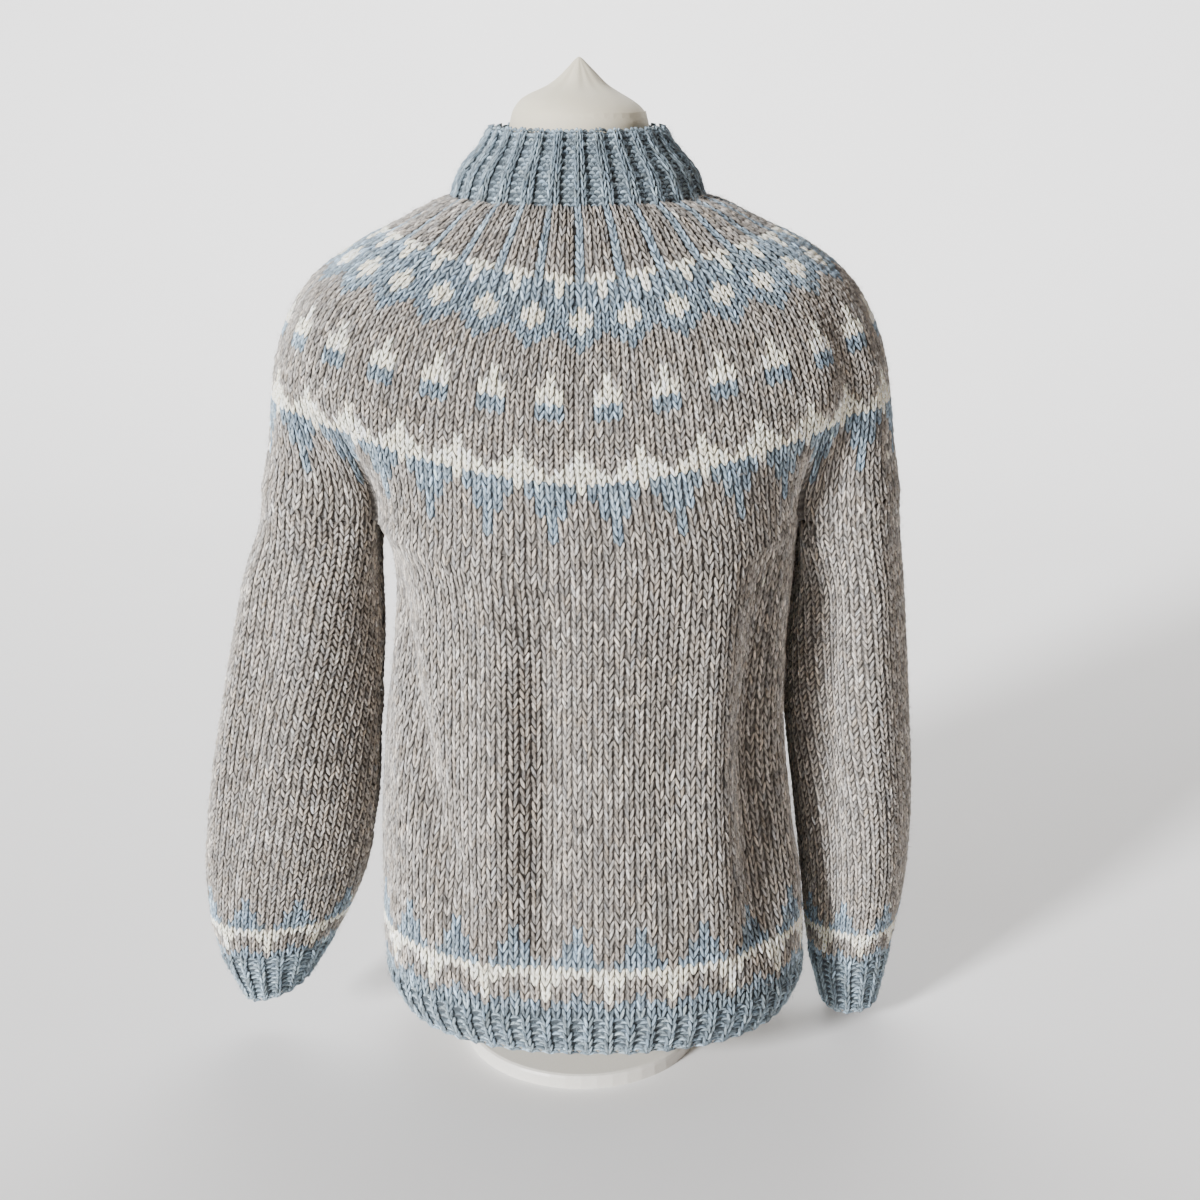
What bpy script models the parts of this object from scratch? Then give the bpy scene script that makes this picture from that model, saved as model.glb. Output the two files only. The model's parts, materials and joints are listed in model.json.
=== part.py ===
"""Hand-knitted circular-yoke sweater on a limbless dress form.

Metres, +Z up. The origin is the centre of the form's base plate, on the floor. The side
of the sweater that faces -Y is its front here, and +X is its right as one looks at it.

The cloth is built from rings. Each ring is counted in stitches, as the knitting is, so
the pieces meet stitch for stitch: the body has 120 stitches, each sleeve 40 at the top,
and the yoke 168 where it joins them, because 8 stitches are grafted at each underarm.
"""

import math

import bpy
import numpy as np

# Squareness of a plain ellipse in plan
ROUND = 2.0
# Points along a whole oval and along the join over a sleeve, before stitches are spaced
OVAL_POINTS = 721
ARC_POINTS = 161
# Edges sharper than this are not shaded smooth, degrees
SHARP_EDGE = 50.0

# Cloth
WALL = 0.0040
SEAM = 0.0003
SLOPING_SEAM = 0.0006
KNIT_RIDGE = 0.0018

# Stitches around
BODY_STITCHES = 120
SLEEVE_STITCHES = 40
YOKE_STITCHES = 168
UNDERARM_HALF = 4
BODY_ARC_HALF = 26
SLEEVE_ARC = 32
NECK_RIDGES = 28
HEM_RIDGES = 60
CUFF_RIDGES = 18

# Heights of the seams
UNDERARM_Z = 0.4660
JOIN_MIDDLE_SAG = 0.0220
SAG_FOOT_Z = 0.3000
JOIN_SLEEVE_RISE = 0.0210
HEM_TOP_Z = 0.0930
HEM_MIDDLE_Z = 0.0720
HEM_RIM_Z = 0.0510

# Yoke rows, counted from the neck down to where body and sleeves join
YOKE_ROWS = 50
# row, left x, right x, side z, front y, front z, back y, back z
YOKE_RINGS = (
    (0.0, -0.0960, 0.0945, 0.7100, -0.0830, 0.7100, 0.0830, 0.7100),
    (3.0, -0.1120, 0.1130, 0.7050, -0.0945, 0.6960, 0.0930, 0.6980),
    (7.0, -0.1330, 0.1350, 0.6945, -0.1060, 0.6750, 0.1030, 0.6780),
    (14.0, -0.1710, 0.1760, 0.6745, -0.1210, 0.6380, 0.1170, 0.6430),
    (21.0, -0.2050, 0.2075, 0.6490, -0.1310, 0.6070, 0.1260, 0.6110),
    (26.0, -0.2220, 0.2230, 0.6250, -0.1360, 0.5800, 0.1310, 0.5840),
    (31.0, -0.2320, 0.2335, 0.5990, -0.1395, 0.5530, 0.1340, 0.5560),
    (38.0, -0.2395, 0.2410, 0.5610, -0.1430, 0.5190, 0.1365, 0.5200),
    (45.0, -0.2450, 0.2470, 0.5180, -0.1440, 0.4750, 0.1370, 0.4750),
    (50.0, -0.2525, 0.2530, 0.4870, -0.1440, 0.4440, 0.1370, 0.4440),
)
YOKE_LEVELS = (0, 3, 7, 13, 19, 25, 31, 38, 45, 50)
# From this row on the yoke parts for the sleeves, slowly at first
PINCH_FROM_ROW = 31.0
PINCH_CURVE = 1.3
# How the rows climb from the middle to the sides, and how much squarer the last one is
YOKE_SIDE_CURVE = 1.35
YOKE_SQUARENESS_GAIN = 0.35

# Neck rib, rim to foot: height, shares of its foot's width and depth, lean toward +X
NECK_LEVELS = (
    (0.7595, 0.685, 0.735, -0.0010),
    (0.7480, 0.755, 0.790, -0.0008),
    (0.7290, 0.925, 0.905, -0.0003),
    (0.7100, 1.000, 1.000, 0.0000),
)
NECK_RIDGE_SHARES = (0.7, 1.0, 1.0, 0.3)

# height, left x, right x, front y, back y
BODY_RINGS = (
    (0.051, -0.1540, 0.1780, -0.1265, 0.1220),
    (0.070, -0.1630, 0.1865, -0.1325, 0.1270),
    (0.093, -0.1665, 0.1875, -0.1345, 0.1290),
    (0.150, -0.1665, 0.1840, -0.1345, 0.1300),
    (0.205, -0.1655, 0.1750, -0.1335, 0.1290),
    (0.303, -0.1580, 0.1640, -0.1340, 0.1270),
    (0.372, -0.1515, 0.1655, -0.1385, 0.1290),
    (0.423, -0.1485, 0.1690, -0.1420, 0.1330),
    (0.448, -0.1520, 0.1705, -0.1435, 0.1355),
    (0.466, -0.1605, 0.1725, -0.1440, 0.1370),
)
BODY_LEVELS = (0.093, 0.125, 0.170, 0.220, 0.275, 0.330, 0.380, 0.423, 0.448, 0.466)
BODY_SQUARENESS = 2.35

# centre height, inner x, outer x, middle y, half depth, outer side's rise over inner side
SLEEVE_RINGS_LEFT = (
    (0.4765, -0.1608, -0.2525, 0.0000, 0.0600, 0.021),
    (0.4550, -0.1570, -0.2575, -0.0010, 0.0590, 0.022),
    (0.4200, -0.1545, -0.2660, -0.0030, 0.0570, 0.022),
    (0.3700, -0.1540, -0.2785, -0.0060, 0.0540, 0.012),
    (0.3000, -0.1625, -0.2945, -0.0080, 0.0520, 0.000),
    (0.2100, -0.1700, -0.3105, -0.0100, 0.0520, 0.000),
    (0.1500, -0.1835, -0.3155, -0.0120, 0.0500, -0.003),
    (0.0980, -0.2065, -0.3080, -0.0140, 0.0440, -0.012),
    (0.0560, -0.2315, -0.2880, -0.0160, 0.0330, -0.018),
)
SLEEVE_RINGS_RIGHT = (
    (0.4765, 0.1728, 0.2530, 0.0000, 0.0600, 0.021),
    (0.4550, 0.1745, 0.2555, 0.0030, 0.0600, 0.022),
    (0.4200, 0.1730, 0.2585, 0.0080, 0.0610, 0.020),
    (0.3700, 0.1700, 0.2645, 0.0130, 0.0620, 0.012),
    (0.3000, 0.1690, 0.2720, 0.0180, 0.0640, 0.000),
    (0.2100, 0.1800, 0.2785, 0.0220, 0.0650, 0.000),
    (0.1400, 0.1890, 0.2775, 0.0240, 0.0600, 0.003),
    (0.0750, 0.1975, 0.2690, 0.0250, 0.0490, 0.008),
    (0.0210, 0.2110, 0.2590, 0.0250, 0.0360, 0.006),
)
SLEEVE_SETTLE = 0.0750
SLEEVE_SQUARENESS = 2.1
CUFF_MIDDLE_SHARE = 0.4
SLEEVE_LEVELS_LEFT = (0.4765, 0.460, 0.430, 0.390, 0.340, 0.280, 0.215, 0.155, 0.122, 0.098)
SLEEVE_LEVELS_RIGHT = (0.4765, 0.460, 0.430, 0.390, 0.335, 0.270, 0.205, 0.145, 0.105, 0.075)
# distance outward from the underarm point, distance toward the front, as shares of the
# sleeve's width and half depth at the top
SLEEVE_CAP = ((0.0, None), (0.16, 0.93), (0.50, 1.05), (0.84, 0.72), (1.0, 0.0))

# How slowly a fold dies out towards its ends
FOLD_FADE = 0.6
# Folds of the body: middle stitch (from the front middle toward +X), half width in
# stitches, depth (minus sinks in), lowest and highest height it reaches, drift in
# stitches from its foot to its head
BODY_FOLDS = (
    (-5.0, 3.4, -0.0075, 0.08, 0.47, 0.0),
    (-12.5, 4.0, 0.0045, 0.10, 0.46, 1.0),
    (5.5, 6.0, 0.0045, 0.08, 0.44, -1.5),
    (18.5, 4.0, -0.0060, 0.07, 0.42, 1.5),
    (-21.0, 3.0, -0.0050, 0.24, 0.45, -5.0),
    (38.0, 5.0, 0.0040, 0.10, 0.42, 1.0),
    (45.0, 3.4, -0.0065, 0.08, 0.44, -1.0),
    (53.0, 5.0, 0.0040, 0.08, 0.44, 1.0),
    (62.0, 3.8, -0.0060, 0.07, 0.45, 1.5),
    (70.0, 5.0, 0.0045, 0.08, 0.43, -1.0),
    (78.0, 3.4, -0.0050, 0.10, 0.44, 2.0),
)
# the same for the sleeves, counted from the underarm stitch through the front
SLEEVE_FOLDS_LEFT = (
    (14.5, 2.2, -0.0060, 0.14, 0.46, -1.5),
    (9.0, 2.6, 0.0030, 0.16, 0.44, 0.5),
    (25.0, 2.4, -0.0050, 0.12, 0.44, 1.5),
    (31.0, 3.0, 0.0035, 0.12, 0.42, 0.0),
)
SLEEVE_FOLDS_RIGHT = (
    (9.0, 2.4, -0.0055, 0.12, 0.47, 1.0),
    (14.5, 3.0, 0.0040, 0.12, 0.44, 0.0),
    (25.0, 2.4, -0.0055, 0.12, 0.45, -1.5),
    (32.0, 2.6, 0.0030, 0.12, 0.42, 1.0),
)

# Dress form
FORM_GAP = 0.0008
FORM_NECK_ROW = 7
FORM_SHOULDER_ROW = 19
TORSO_SQUARENESS = 2.2
# radius, height, of the neck under its cap
NECK_STUMP = (
    (0.0500, 0.7715),
    (0.0516, 0.7640),
    (0.0520, 0.7450),
    (0.0560, 0.7200),
    (0.0700, 0.7050),
)
# height, half width, front y, back y, of the torso under its shoulders
TORSO_RINGS = (
    (0.600, 0.1860, -0.1180, 0.1150),
    (0.540, 0.1600, -0.1250, 0.1180),
    (0.480, 0.1400, -0.1260, 0.1170),
    (0.400, 0.1340, -0.1160, 0.1080),
    (0.310, 0.1280, -0.1080, 0.1040),
    (0.220, 0.1440, -0.1120, 0.1100),
    (0.150, 0.1490, -0.1120, 0.1100),
    (0.105, 0.1460, -0.1080, 0.1060),
)
# radius, height, of the domed cap and its pointed knob, top to bottom
CAP_PROFILE = (
    (0.0, 0.8105),
    (0.0030, 0.8080),
    (0.0090, 0.8010),
    (0.0160, 0.7945),
    (0.0240, 0.7895),
    (0.0340, 0.7850),
    (0.0430, 0.7802),
    (0.0480, 0.7755),
    (0.0500, 0.7718),
    (0.0, 0.7718),
)
POLE_R = 0.0160
BASE_R = 0.1000
BASE_H = 0.0120
BASE_EDGE = 0.0030
BASE_EDGE_CORNER = 0.3
CAP_STEPS = 36
POLE_STEPS = 24
BASE_STEPS = 48


def material(name, rgb, roughness):
    """A plain Principled material."""
    made = bpy.data.materials.new(name)
    made.use_nodes = True
    shader = made.node_tree.nodes["Principled BSDF"]
    shader.inputs["Base Color"].default_value = (*rgb, 1.0)
    shader.inputs["Roughness"].default_value = roughness
    return made


def smooth_steps(share):
    """0 to 1 with level ends."""
    share = np.clip(share, 0.0, 1.0)
    return share * share * (3.0 - 2.0 * share)


def read_table(table, place):
    """Every column of a table at a place in its first column, along a smooth curve."""
    rows = np.array(table, dtype=float)
    rows = rows[np.argsort(rows[:, 0])]
    at = rows[:, 0]
    slopes = np.gradient(rows, at, axis=0)
    low = int(np.clip(np.searchsorted(at, place) - 1, 0, len(at) - 2))
    step = at[low + 1] - at[low]
    t = (place - at[low]) / step
    h00 = 2 * t**3 - 3 * t**2 + 1
    h10 = t**3 - 2 * t**2 + t
    value = h00 * rows[low] + (1 - h00) * rows[low + 1]
    value = value + h10 * step * slopes[low] + (t**3 - t**2) * step * slopes[low + 1]
    return value[1:]


def along(points, shares):
    """Points at equal shares of a polyline's length."""
    lengths = np.linalg.norm(np.diff(points, axis=0), axis=1)
    run = np.concatenate([[0.0], np.cumsum(lengths)]) / lengths.sum()
    return np.stack([np.interp(shares, run, column) for column in points.T], axis=1)


def oval(shares, left, right, front, back, squareness, start=0.0):
    """A squared oval in plan, from its front middle through +X. start turns it."""
    angle = np.linspace(0.0, 2.0 * math.pi, OVAL_POINTS) + start
    across = np.sign(np.sin(angle)) * np.abs(np.sin(angle)) ** (2.0 / squareness)
    ahead = np.sign(np.cos(angle)) * np.abs(np.cos(angle)) ** (2.0 / squareness)
    x = (left + right) / 2.0 + across * (right - left) / 2.0
    y = np.where(ahead > 0.0, front * ahead, -back * ahead)
    return along(np.stack([x, y], axis=1), np.mod(shares, 1.0))


def fold_depth(folds, stitches, height, around):
    """How far the folds move the cloth outward at these stitches and this height."""
    total = np.zeros(len(stitches))
    for middle, half, depth, foot, head, drift in folds:
        rise = (height - foot) / (head - foot)
        fade = math.sin(math.pi * min(max(rise, 0.0), 1.0)) ** FOLD_FADE
        away = np.mod(stitches - middle - drift * rise + around / 2.0, around) - around / 2.0
        total = total + depth * fade * np.exp(-((away / half) ** 2))
    return total


def plan_outward(points):
    """Level unit directions that point out of a ring that runs front, +X, back."""
    ahead = np.roll(points, -1, axis=0) - np.roll(points, 1, axis=0)
    outward = np.stack([ahead[:, 1], -ahead[:, 0], np.zeros(len(points))], axis=1)
    return outward / np.linalg.norm(outward, axis=1)[:, None]


def join_rise(stitches):
    """Height of the join over the underarm: it sags between the two on front and back."""
    half = BODY_STITCHES / 2.0
    from_middle = np.abs(np.mod(stitches + half / 2.0, half) - half / 2.0)
    return -JOIN_MIDDLE_SAG * smooth_steps((BODY_ARC_HALF - from_middle) / BODY_ARC_HALF)


def body_ring(stitches, height):
    """The body's outer cloth at one height, for these stitches."""
    left, right, front, back = read_table(BODY_RINGS, height)
    plan = oval(stitches / BODY_STITCHES, left, right, front, back, BODY_SQUARENESS)
    share = smooth_steps((height - SAG_FOOT_Z) / (UNDERARM_Z - SAG_FOOT_Z))
    return np.column_stack([plan, height + join_rise(stitches) * share])


def sleeve_cap_arc(side, shares):
    """The join over one sleeve in plan, from its front end to its back end."""
    ends = side * np.array([BODY_ARC_HALF, BODY_STITCHES / 2.0 - BODY_ARC_HALF])
    front_end, back_end = body_ring(ends, UNDERARM_Z)
    table = SLEEVE_RINGS_RIGHT if side > 0 else SLEEVE_RINGS_LEFT
    outer, depth = table[0][2], table[0][4]
    half = []
    for out, ahead in SLEEVE_CAP:
        x = front_end[0] + out * (outer - front_end[0])
        half.append((x, front_end[1] if ahead is None else -ahead * depth))
    mirrored = [(x, -y) for x, y in half[-2:0:-1]] + [(back_end[0], back_end[1])]
    points = [(i, *point) for i, point in enumerate(half + mirrored)]
    places = np.linspace(0.0, len(points) - 1.0, ARC_POINTS)
    plan = along(np.array([read_table(points, place) for place in places]), shares)
    out = (plan[:, 0] - front_end[0]) / (outer - front_end[0])
    return np.column_stack([plan, UNDERARM_Z + JOIN_SLEEVE_RISE * smooth_steps(out)])


def join_ring(stitches):
    """The yoke's lowest row: body front, right sleeve, body back, left sleeve."""
    half = YOKE_STITCHES / 2.0
    count = np.mod(stitches + half, YOKE_STITCHES) - half
    ring = np.zeros((len(count), 3))
    size = np.abs(count)
    front = size <= BODY_ARC_HALF
    back = size >= BODY_ARC_HALF + SLEEVE_ARC
    ring[front] = body_ring(count[front], UNDERARM_Z)
    turned = np.sign(count[back]) * (size[back] - (YOKE_STITCHES - BODY_STITCHES) / 2.0)
    ring[back] = body_ring(turned, UNDERARM_Z)
    for side in (1, -1):
        over = ~front & ~back & (np.sign(count) == side)
        ring[over] = sleeve_cap_arc(side, (size[over] - BODY_ARC_HALF) / SLEEVE_ARC)
    return ring


def plain_yoke_ring(stitches, row):
    """The yoke's row before it parts for the sleeves: a squared oval, higher at its sides."""
    left, right, side_z, front, front_z, back, back_z = read_table(YOKE_RINGS, row)
    squareness = ROUND + YOKE_SQUARENESS_GAIN * row / YOKE_ROWS
    plan = oval(stitches / YOKE_STITCHES, left, right, front, back, squareness)
    aside = np.abs(plan[:, 0] - (left + right) / 2.0) / ((right - left) / 2.0)
    middle_z = front_z + (back_z - front_z) * smooth_steps((plan[:, 1] - front) / (back - front))
    return np.column_stack([plan, middle_z + (side_z - middle_z) * aside**YOKE_SIDE_CURVE])


def yoke_ring(stitches, row):
    """The yoke's outer cloth at one row, for these stitches."""
    pinch = smooth_steps((row - PINCH_FROM_ROW) / (YOKE_ROWS - PINCH_FROM_ROW)) ** PINCH_CURVE
    parting = join_ring(stitches) - plain_yoke_ring(stitches, YOKE_ROWS)
    return plain_yoke_ring(stitches, row) + parting * pinch


def sleeve_ring(side, stitches, height):
    """One sleeve's outer cloth, for stitches counted from the underarm through the front."""
    table = SLEEVE_RINGS_RIGHT if side > 0 else SLEEVE_RINGS_LEFT
    inner, outer, middle, depth, rise = read_table(table, height)
    low, high = min(inner, outer), max(inner, outer)
    plan = oval(stitches / SLEEVE_STITCHES, low, high, -depth, depth, SLEEVE_SQUARENESS, -math.pi / 2.0)
    if side < 0:
        plan[:, 0] = low + high - plan[:, 0]
    plan[:, 1] = plan[:, 1] + middle
    out = (plan[:, 0] - inner) / (outer - inner)
    return np.column_stack([plan, height + rise * (out - 0.5)])


def sleeve_top_ring(side, stitches):
    """The sleeve's first ring: 32 stitches from the yoke and 8 grafted at the underarm."""
    count = np.mod(stitches + UNDERARM_HALF, SLEEVE_STITCHES) - UNDERARM_HALF
    ring = np.zeros((len(count), 3))
    under = count <= UNDERARM_HALF
    ring[under] = body_ring(side * (BODY_STITCHES / 4.0 - count[under]), UNDERARM_Z)
    ring[under, 0] += side * SEAM
    ring[~under] = sleeve_cap_arc(side, (count[~under] - UNDERARM_HALF) / SLEEVE_ARC)
    return ring


def mesh_object(name, collection, points, faces, look):
    """A mesh object from points and faces, shaded smooth."""
    mesh = bpy.data.meshes.new(name)
    mesh.from_pydata([tuple(point) for point in points], [], faces)
    made = bpy.data.objects.new(name, mesh)
    collection.objects.link(made)
    mesh.materials.append(look)
    mesh.shade_smooth()
    mesh.set_sharp_from_angle(angle=math.radians(SHARP_EDGE))
    return made


def ring_faces(first, second, count):
    """Quads between two rings of points, given by the index of each ring's first point."""
    faces = []
    for i in range(count):
        after = (i + 1) % count
        faces.append((first + i, first + after, second + after, second + i))
    return faces


def wall_object(name, collection, outer, inner, look):
    """A tube of cloth from outer and inner rings, listed top to bottom, with both rims."""
    count = len(outer[0])
    rings = list(outer) + list(reversed(inner))
    faces = []
    for k in range(len(rings)):
        faces.extend(ring_faces(((k + 1) % len(rings)) * count, k * count, count))
    return mesh_object(name, collection, np.concatenate(rings), faces, look)


def solid_object(name, collection, rings, look):
    """A closed solid from rings listed top to bottom, with both ends filled."""
    count = len(rings[0])
    faces = []
    for k in range(len(rings) - 1):
        faces.extend(ring_faces((k + 1) * count, k * count, count))
    faces.append(tuple(range(count)))
    last = (len(rings) - 1) * count
    faces.append(tuple(reversed(range(last, last + count))))
    return mesh_object(name, collection, np.concatenate(rings), faces, look)


def turned_object(name, collection, profile, steps, look):
    """A turned solid from a profile of radius and height, top to bottom."""
    mesh = bpy.data.meshes.new(name)
    points = [(radius, 0.0, height) for radius, height in profile]
    edges = [(i, i + 1) for i in range(len(points) - 1)]
    mesh.from_pydata(points, edges, [])
    made = bpy.data.objects.new(name, mesh)
    collection.objects.link(made)
    mesh.materials.append(look)
    screw = made.modifiers.new("turn", "SCREW")
    screw.steps = steps
    screw.render_steps = steps
    screw.use_merge_vertices = True
    screw.merge_threshold = 0.00001
    screw.use_smooth_shade = True
    return made


def surface_outward(rings):
    """Unit directions out of a tube of rings listed top to bottom."""
    grid = np.array(rings)
    ahead = np.roll(grid, -1, axis=1) - np.roll(grid, 1, axis=1)
    down = np.gradient(grid, axis=0)
    outward = np.cross(down, ahead)
    return outward / np.linalg.norm(outward, axis=2)[:, :, None]


def inset(rings, depth):
    """Rings sunk into the cloth by depth, square to it, but level at both rims."""
    outward = surface_outward(rings)
    outward[0] = plan_outward(rings[0])
    outward[-1] = plan_outward(rings[-1])
    return [ring - depth * way for ring, way in zip(rings, outward)]


def yoke_counts():
    """Stitches with a vertex on the yoke: every second on the body, each on the sleeves."""
    front = np.arange(-BODY_ARC_HALF, BODY_ARC_HALF + 1, 2)
    right = np.arange(BODY_ARC_HALF + 1, BODY_ARC_HALF + SLEEVE_ARC)
    back = np.arange(BODY_ARC_HALF + SLEEVE_ARC, YOKE_STITCHES - BODY_ARC_HALF - SLEEVE_ARC + 1, 2)
    left = np.arange(back[-1] + 1, YOKE_STITCHES - BODY_ARC_HALF)
    return np.concatenate([front, right, back, left]).astype(float)


def body_counts():
    """Stitches with a vertex on the body: every second, and each one at the underarms."""
    half = BODY_ARC_HALF
    middle_back = BODY_STITCHES // 2
    front = np.arange(-half, half + 1, 2)
    right = np.arange(half + 1, middle_back - half)
    back = np.arange(middle_back - half, middle_back + half + 1, 2)
    left = np.arange(middle_back + half + 1, BODY_STITCHES - half)
    return np.concatenate([front, right, back, left]).astype(float)


def build_yoke(collection, look):
    """The yoke, from under the neck rib to the join."""
    counts = yoke_counts()
    rings = [yoke_ring(counts, row) for row in YOKE_LEVELS]
    rings[0][:, 2] -= SEAM / 2.0
    rings[-1][:, 2] += SLOPING_SEAM
    inner = inset(rings, WALL)
    wall_object("yoke", collection, rings, inner, look)


def build_body(collection, look):
    """The body tube, from the join down to the hem rib."""
    counts = body_counts()
    rings = []
    for height in reversed(BODY_LEVELS):
        ring = body_ring(counts, height)
        depth = fold_depth(BODY_FOLDS, counts, height, BODY_STITCHES)
        if height in (BODY_LEVELS[0], BODY_LEVELS[-1]):
            depth = np.zeros(len(counts))
        rings.append(ring + plan_outward(ring) * depth[:, None])
    wall_object("body", collection, rings, inset(rings, WALL), look)


def ridged(ring, points_each, height):
    """A ring pushed out at its knit stitches, for ribs of knit and purl."""
    phase = np.arange(len(ring)) % points_each
    knit = phase < points_each // 2
    return ring + plan_outward(ring) * (knit * height)[:, None]


def build_neck_rib(collection, look):
    """The stand-up neck rib: 28 ridges of two knit and two purl stitches."""
    count = NECK_RIDGES * 4
    shares = np.arange(count) / count
    top = read_table(YOKE_RINGS, 0.0)
    plain = []
    for height, wide, deep, lean in NECK_LEVELS:
        plan = oval(shares, top[0] * wide, top[1] * wide, top[3] * deep, top[5] * deep, ROUND)
        plan[:, 0] += lean
        plain.append(np.column_stack([plan, np.full(count, height)]))
    plain[-1][:, 2] += SEAM / 2.0
    inner = [ring - WALL * plan_outward(ring) for ring in plain]
    outer = []
    for ring, wide in zip(plain, NECK_RIDGE_SHARES):
        outer.append(ridged(ring, 4, KNIT_RIDGE * wide))
    wall_object("neck_rib", collection, outer, inner, look)


def build_hem_rib(collection, look):
    """The hem rib: 60 ridges of one knit and one purl stitch."""
    count = HEM_RIDGES * 2
    stitches = np.arange(count) * BODY_STITCHES / count
    plain = [body_ring(stitches, height) for height in (HEM_TOP_Z - SEAM, HEM_MIDDLE_Z, HEM_RIM_Z)]
    inner = [ring - WALL * plan_outward(ring) for ring in plain]
    outer = [ridged(ring, 2, KNIT_RIDGE) for ring in plain]
    wall_object("hem_rib", collection, outer, inner, look)


def sleeve_rings(side):
    """One sleeve's rings from the join to the cuff, each running front, +X, back."""
    levels = SLEEVE_LEVELS_RIGHT if side > 0 else SLEEVE_LEVELS_LEFT
    folds = SLEEVE_FOLDS_RIGHT if side > 0 else SLEEVE_FOLDS_LEFT
    stitches = np.arange(SLEEVE_STITCHES, dtype=float)[::side]
    top = sleeve_top_ring(side, stitches)
    rings = [top]
    for height in levels[1:]:
        lowered = top - np.array([0.0, 0.0, levels[0] - height])
        settle = smooth_steps((levels[0] - height) / SLEEVE_SETTLE)
        ring = lowered + (sleeve_ring(side, stitches, height) - lowered) * settle
        depth = fold_depth(folds, stitches, height, SLEEVE_STITCHES)
        if height == levels[-1]:
            depth = np.zeros(len(stitches))
        rings.append(ring + plan_outward(ring) * depth[:, None])
    return rings


def cuff_rings(side):
    """One cuff's plain rings from the sleeve to its rim, each running front, +X, back."""
    levels = SLEEVE_LEVELS_RIGHT if side > 0 else SLEEVE_LEVELS_LEFT
    table = SLEEVE_RINGS_RIGHT if side > 0 else SLEEVE_RINGS_LEFT
    rim = min(row[0] for row in table)
    count = CUFF_RIDGES * 2
    stitches = (np.arange(count) * SLEEVE_STITCHES / count)[::side]
    middle = levels[-1] + (rim - levels[-1]) * CUFF_MIDDLE_SHARE
    heights = (levels[-1], middle, rim)
    rings = [sleeve_ring(side, stitches, height) for height in heights]
    rings[0][:, 2] -= SEAM
    return rings


def build_sleeves(collection, grey, blue):
    """Both sleeves with their ribbed cuffs."""
    for side, word in ((-1, "left"), (1, "right")):
        rings = sleeve_rings(side)
        wall_object("sleeve_" + word, collection, rings, inset(rings, WALL), grey)
        plain = cuff_rings(side)
        inner = [ring - WALL * plan_outward(ring) for ring in plain]
        outer = [ridged(ring, 2, KNIT_RIDGE) for ring in plain]
        wall_object("cuff_" + word, collection, outer, inner, blue)


def build_form(collection, jersey, painted):
    """The dress form: torso, capped neck, pole and base plate."""
    counts = yoke_counts()[::2]
    rings = []
    for radius, height in NECK_STUMP:
        plan = oval(counts / YOKE_STITCHES, -radius, radius, -radius, radius, ROUND)
        rings.append(np.column_stack([plan, np.full(len(plan), height)]))
    shoulder = [yoke_ring(counts, row) for row in YOKE_LEVELS]
    seat = inset(shoulder, WALL + FORM_GAP)
    rings += [ring for ring, row in zip(seat, YOKE_LEVELS) if FORM_NECK_ROW <= row <= FORM_SHOULDER_ROW]
    for height, half, front, back in TORSO_RINGS:
        plan = oval(counts / YOKE_STITCHES, -half, half, front, back, TORSO_SQUARENESS)
        rings.append(np.column_stack([plan, np.full(len(plan), height)]))
    solid_object("form_torso", collection, rings, jersey)
    turned_object("form_cap", collection, CAP_PROFILE, CAP_STEPS, jersey)
    foot = BASE_H + SEAM
    top = TORSO_RINGS[-1][0] - SEAM
    pole = ((0.0, top), (POLE_R, top), (POLE_R, foot), (0.0, foot))
    turned_object("form_pole", collection, pole, POLE_STEPS, painted)
    edge = BASE_R - BASE_EDGE
    base = (
        (0.0, BASE_H),
        (edge, BASE_H),
        (BASE_R - BASE_EDGE_CORNER * BASE_EDGE, BASE_H - BASE_EDGE_CORNER * BASE_EDGE),
        (BASE_R, BASE_H - BASE_EDGE),
        (BASE_R, 0.0),
        (0.0, 0.0),
    )
    turned_object("form_base", collection, base, BASE_STEPS, painted)


def main():
    """Builds the whole part."""
    for old in list(bpy.data.objects):
        bpy.data.objects.remove(old)
    part = bpy.data.collections.new("yoke_sweater")
    bpy.context.scene.collection.children.link(part)
    grey = material("grey_brown_wool", (0.32, 0.28, 0.25), 0.95)
    blue = material("blue_wool", (0.27, 0.38, 0.46), 0.95)
    jersey = material("ivory_jersey", (0.80, 0.76, 0.65), 0.80)
    painted = material("off_white_paint", (0.82, 0.80, 0.76), 0.40)
    build_yoke(part, grey)
    build_body(part, grey)
    build_neck_rib(part, blue)
    build_hem_rib(part, blue)
    build_sleeves(part, grey, blue)
    build_form(part, jersey, painted)


main()
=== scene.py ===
import json
import math

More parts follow.
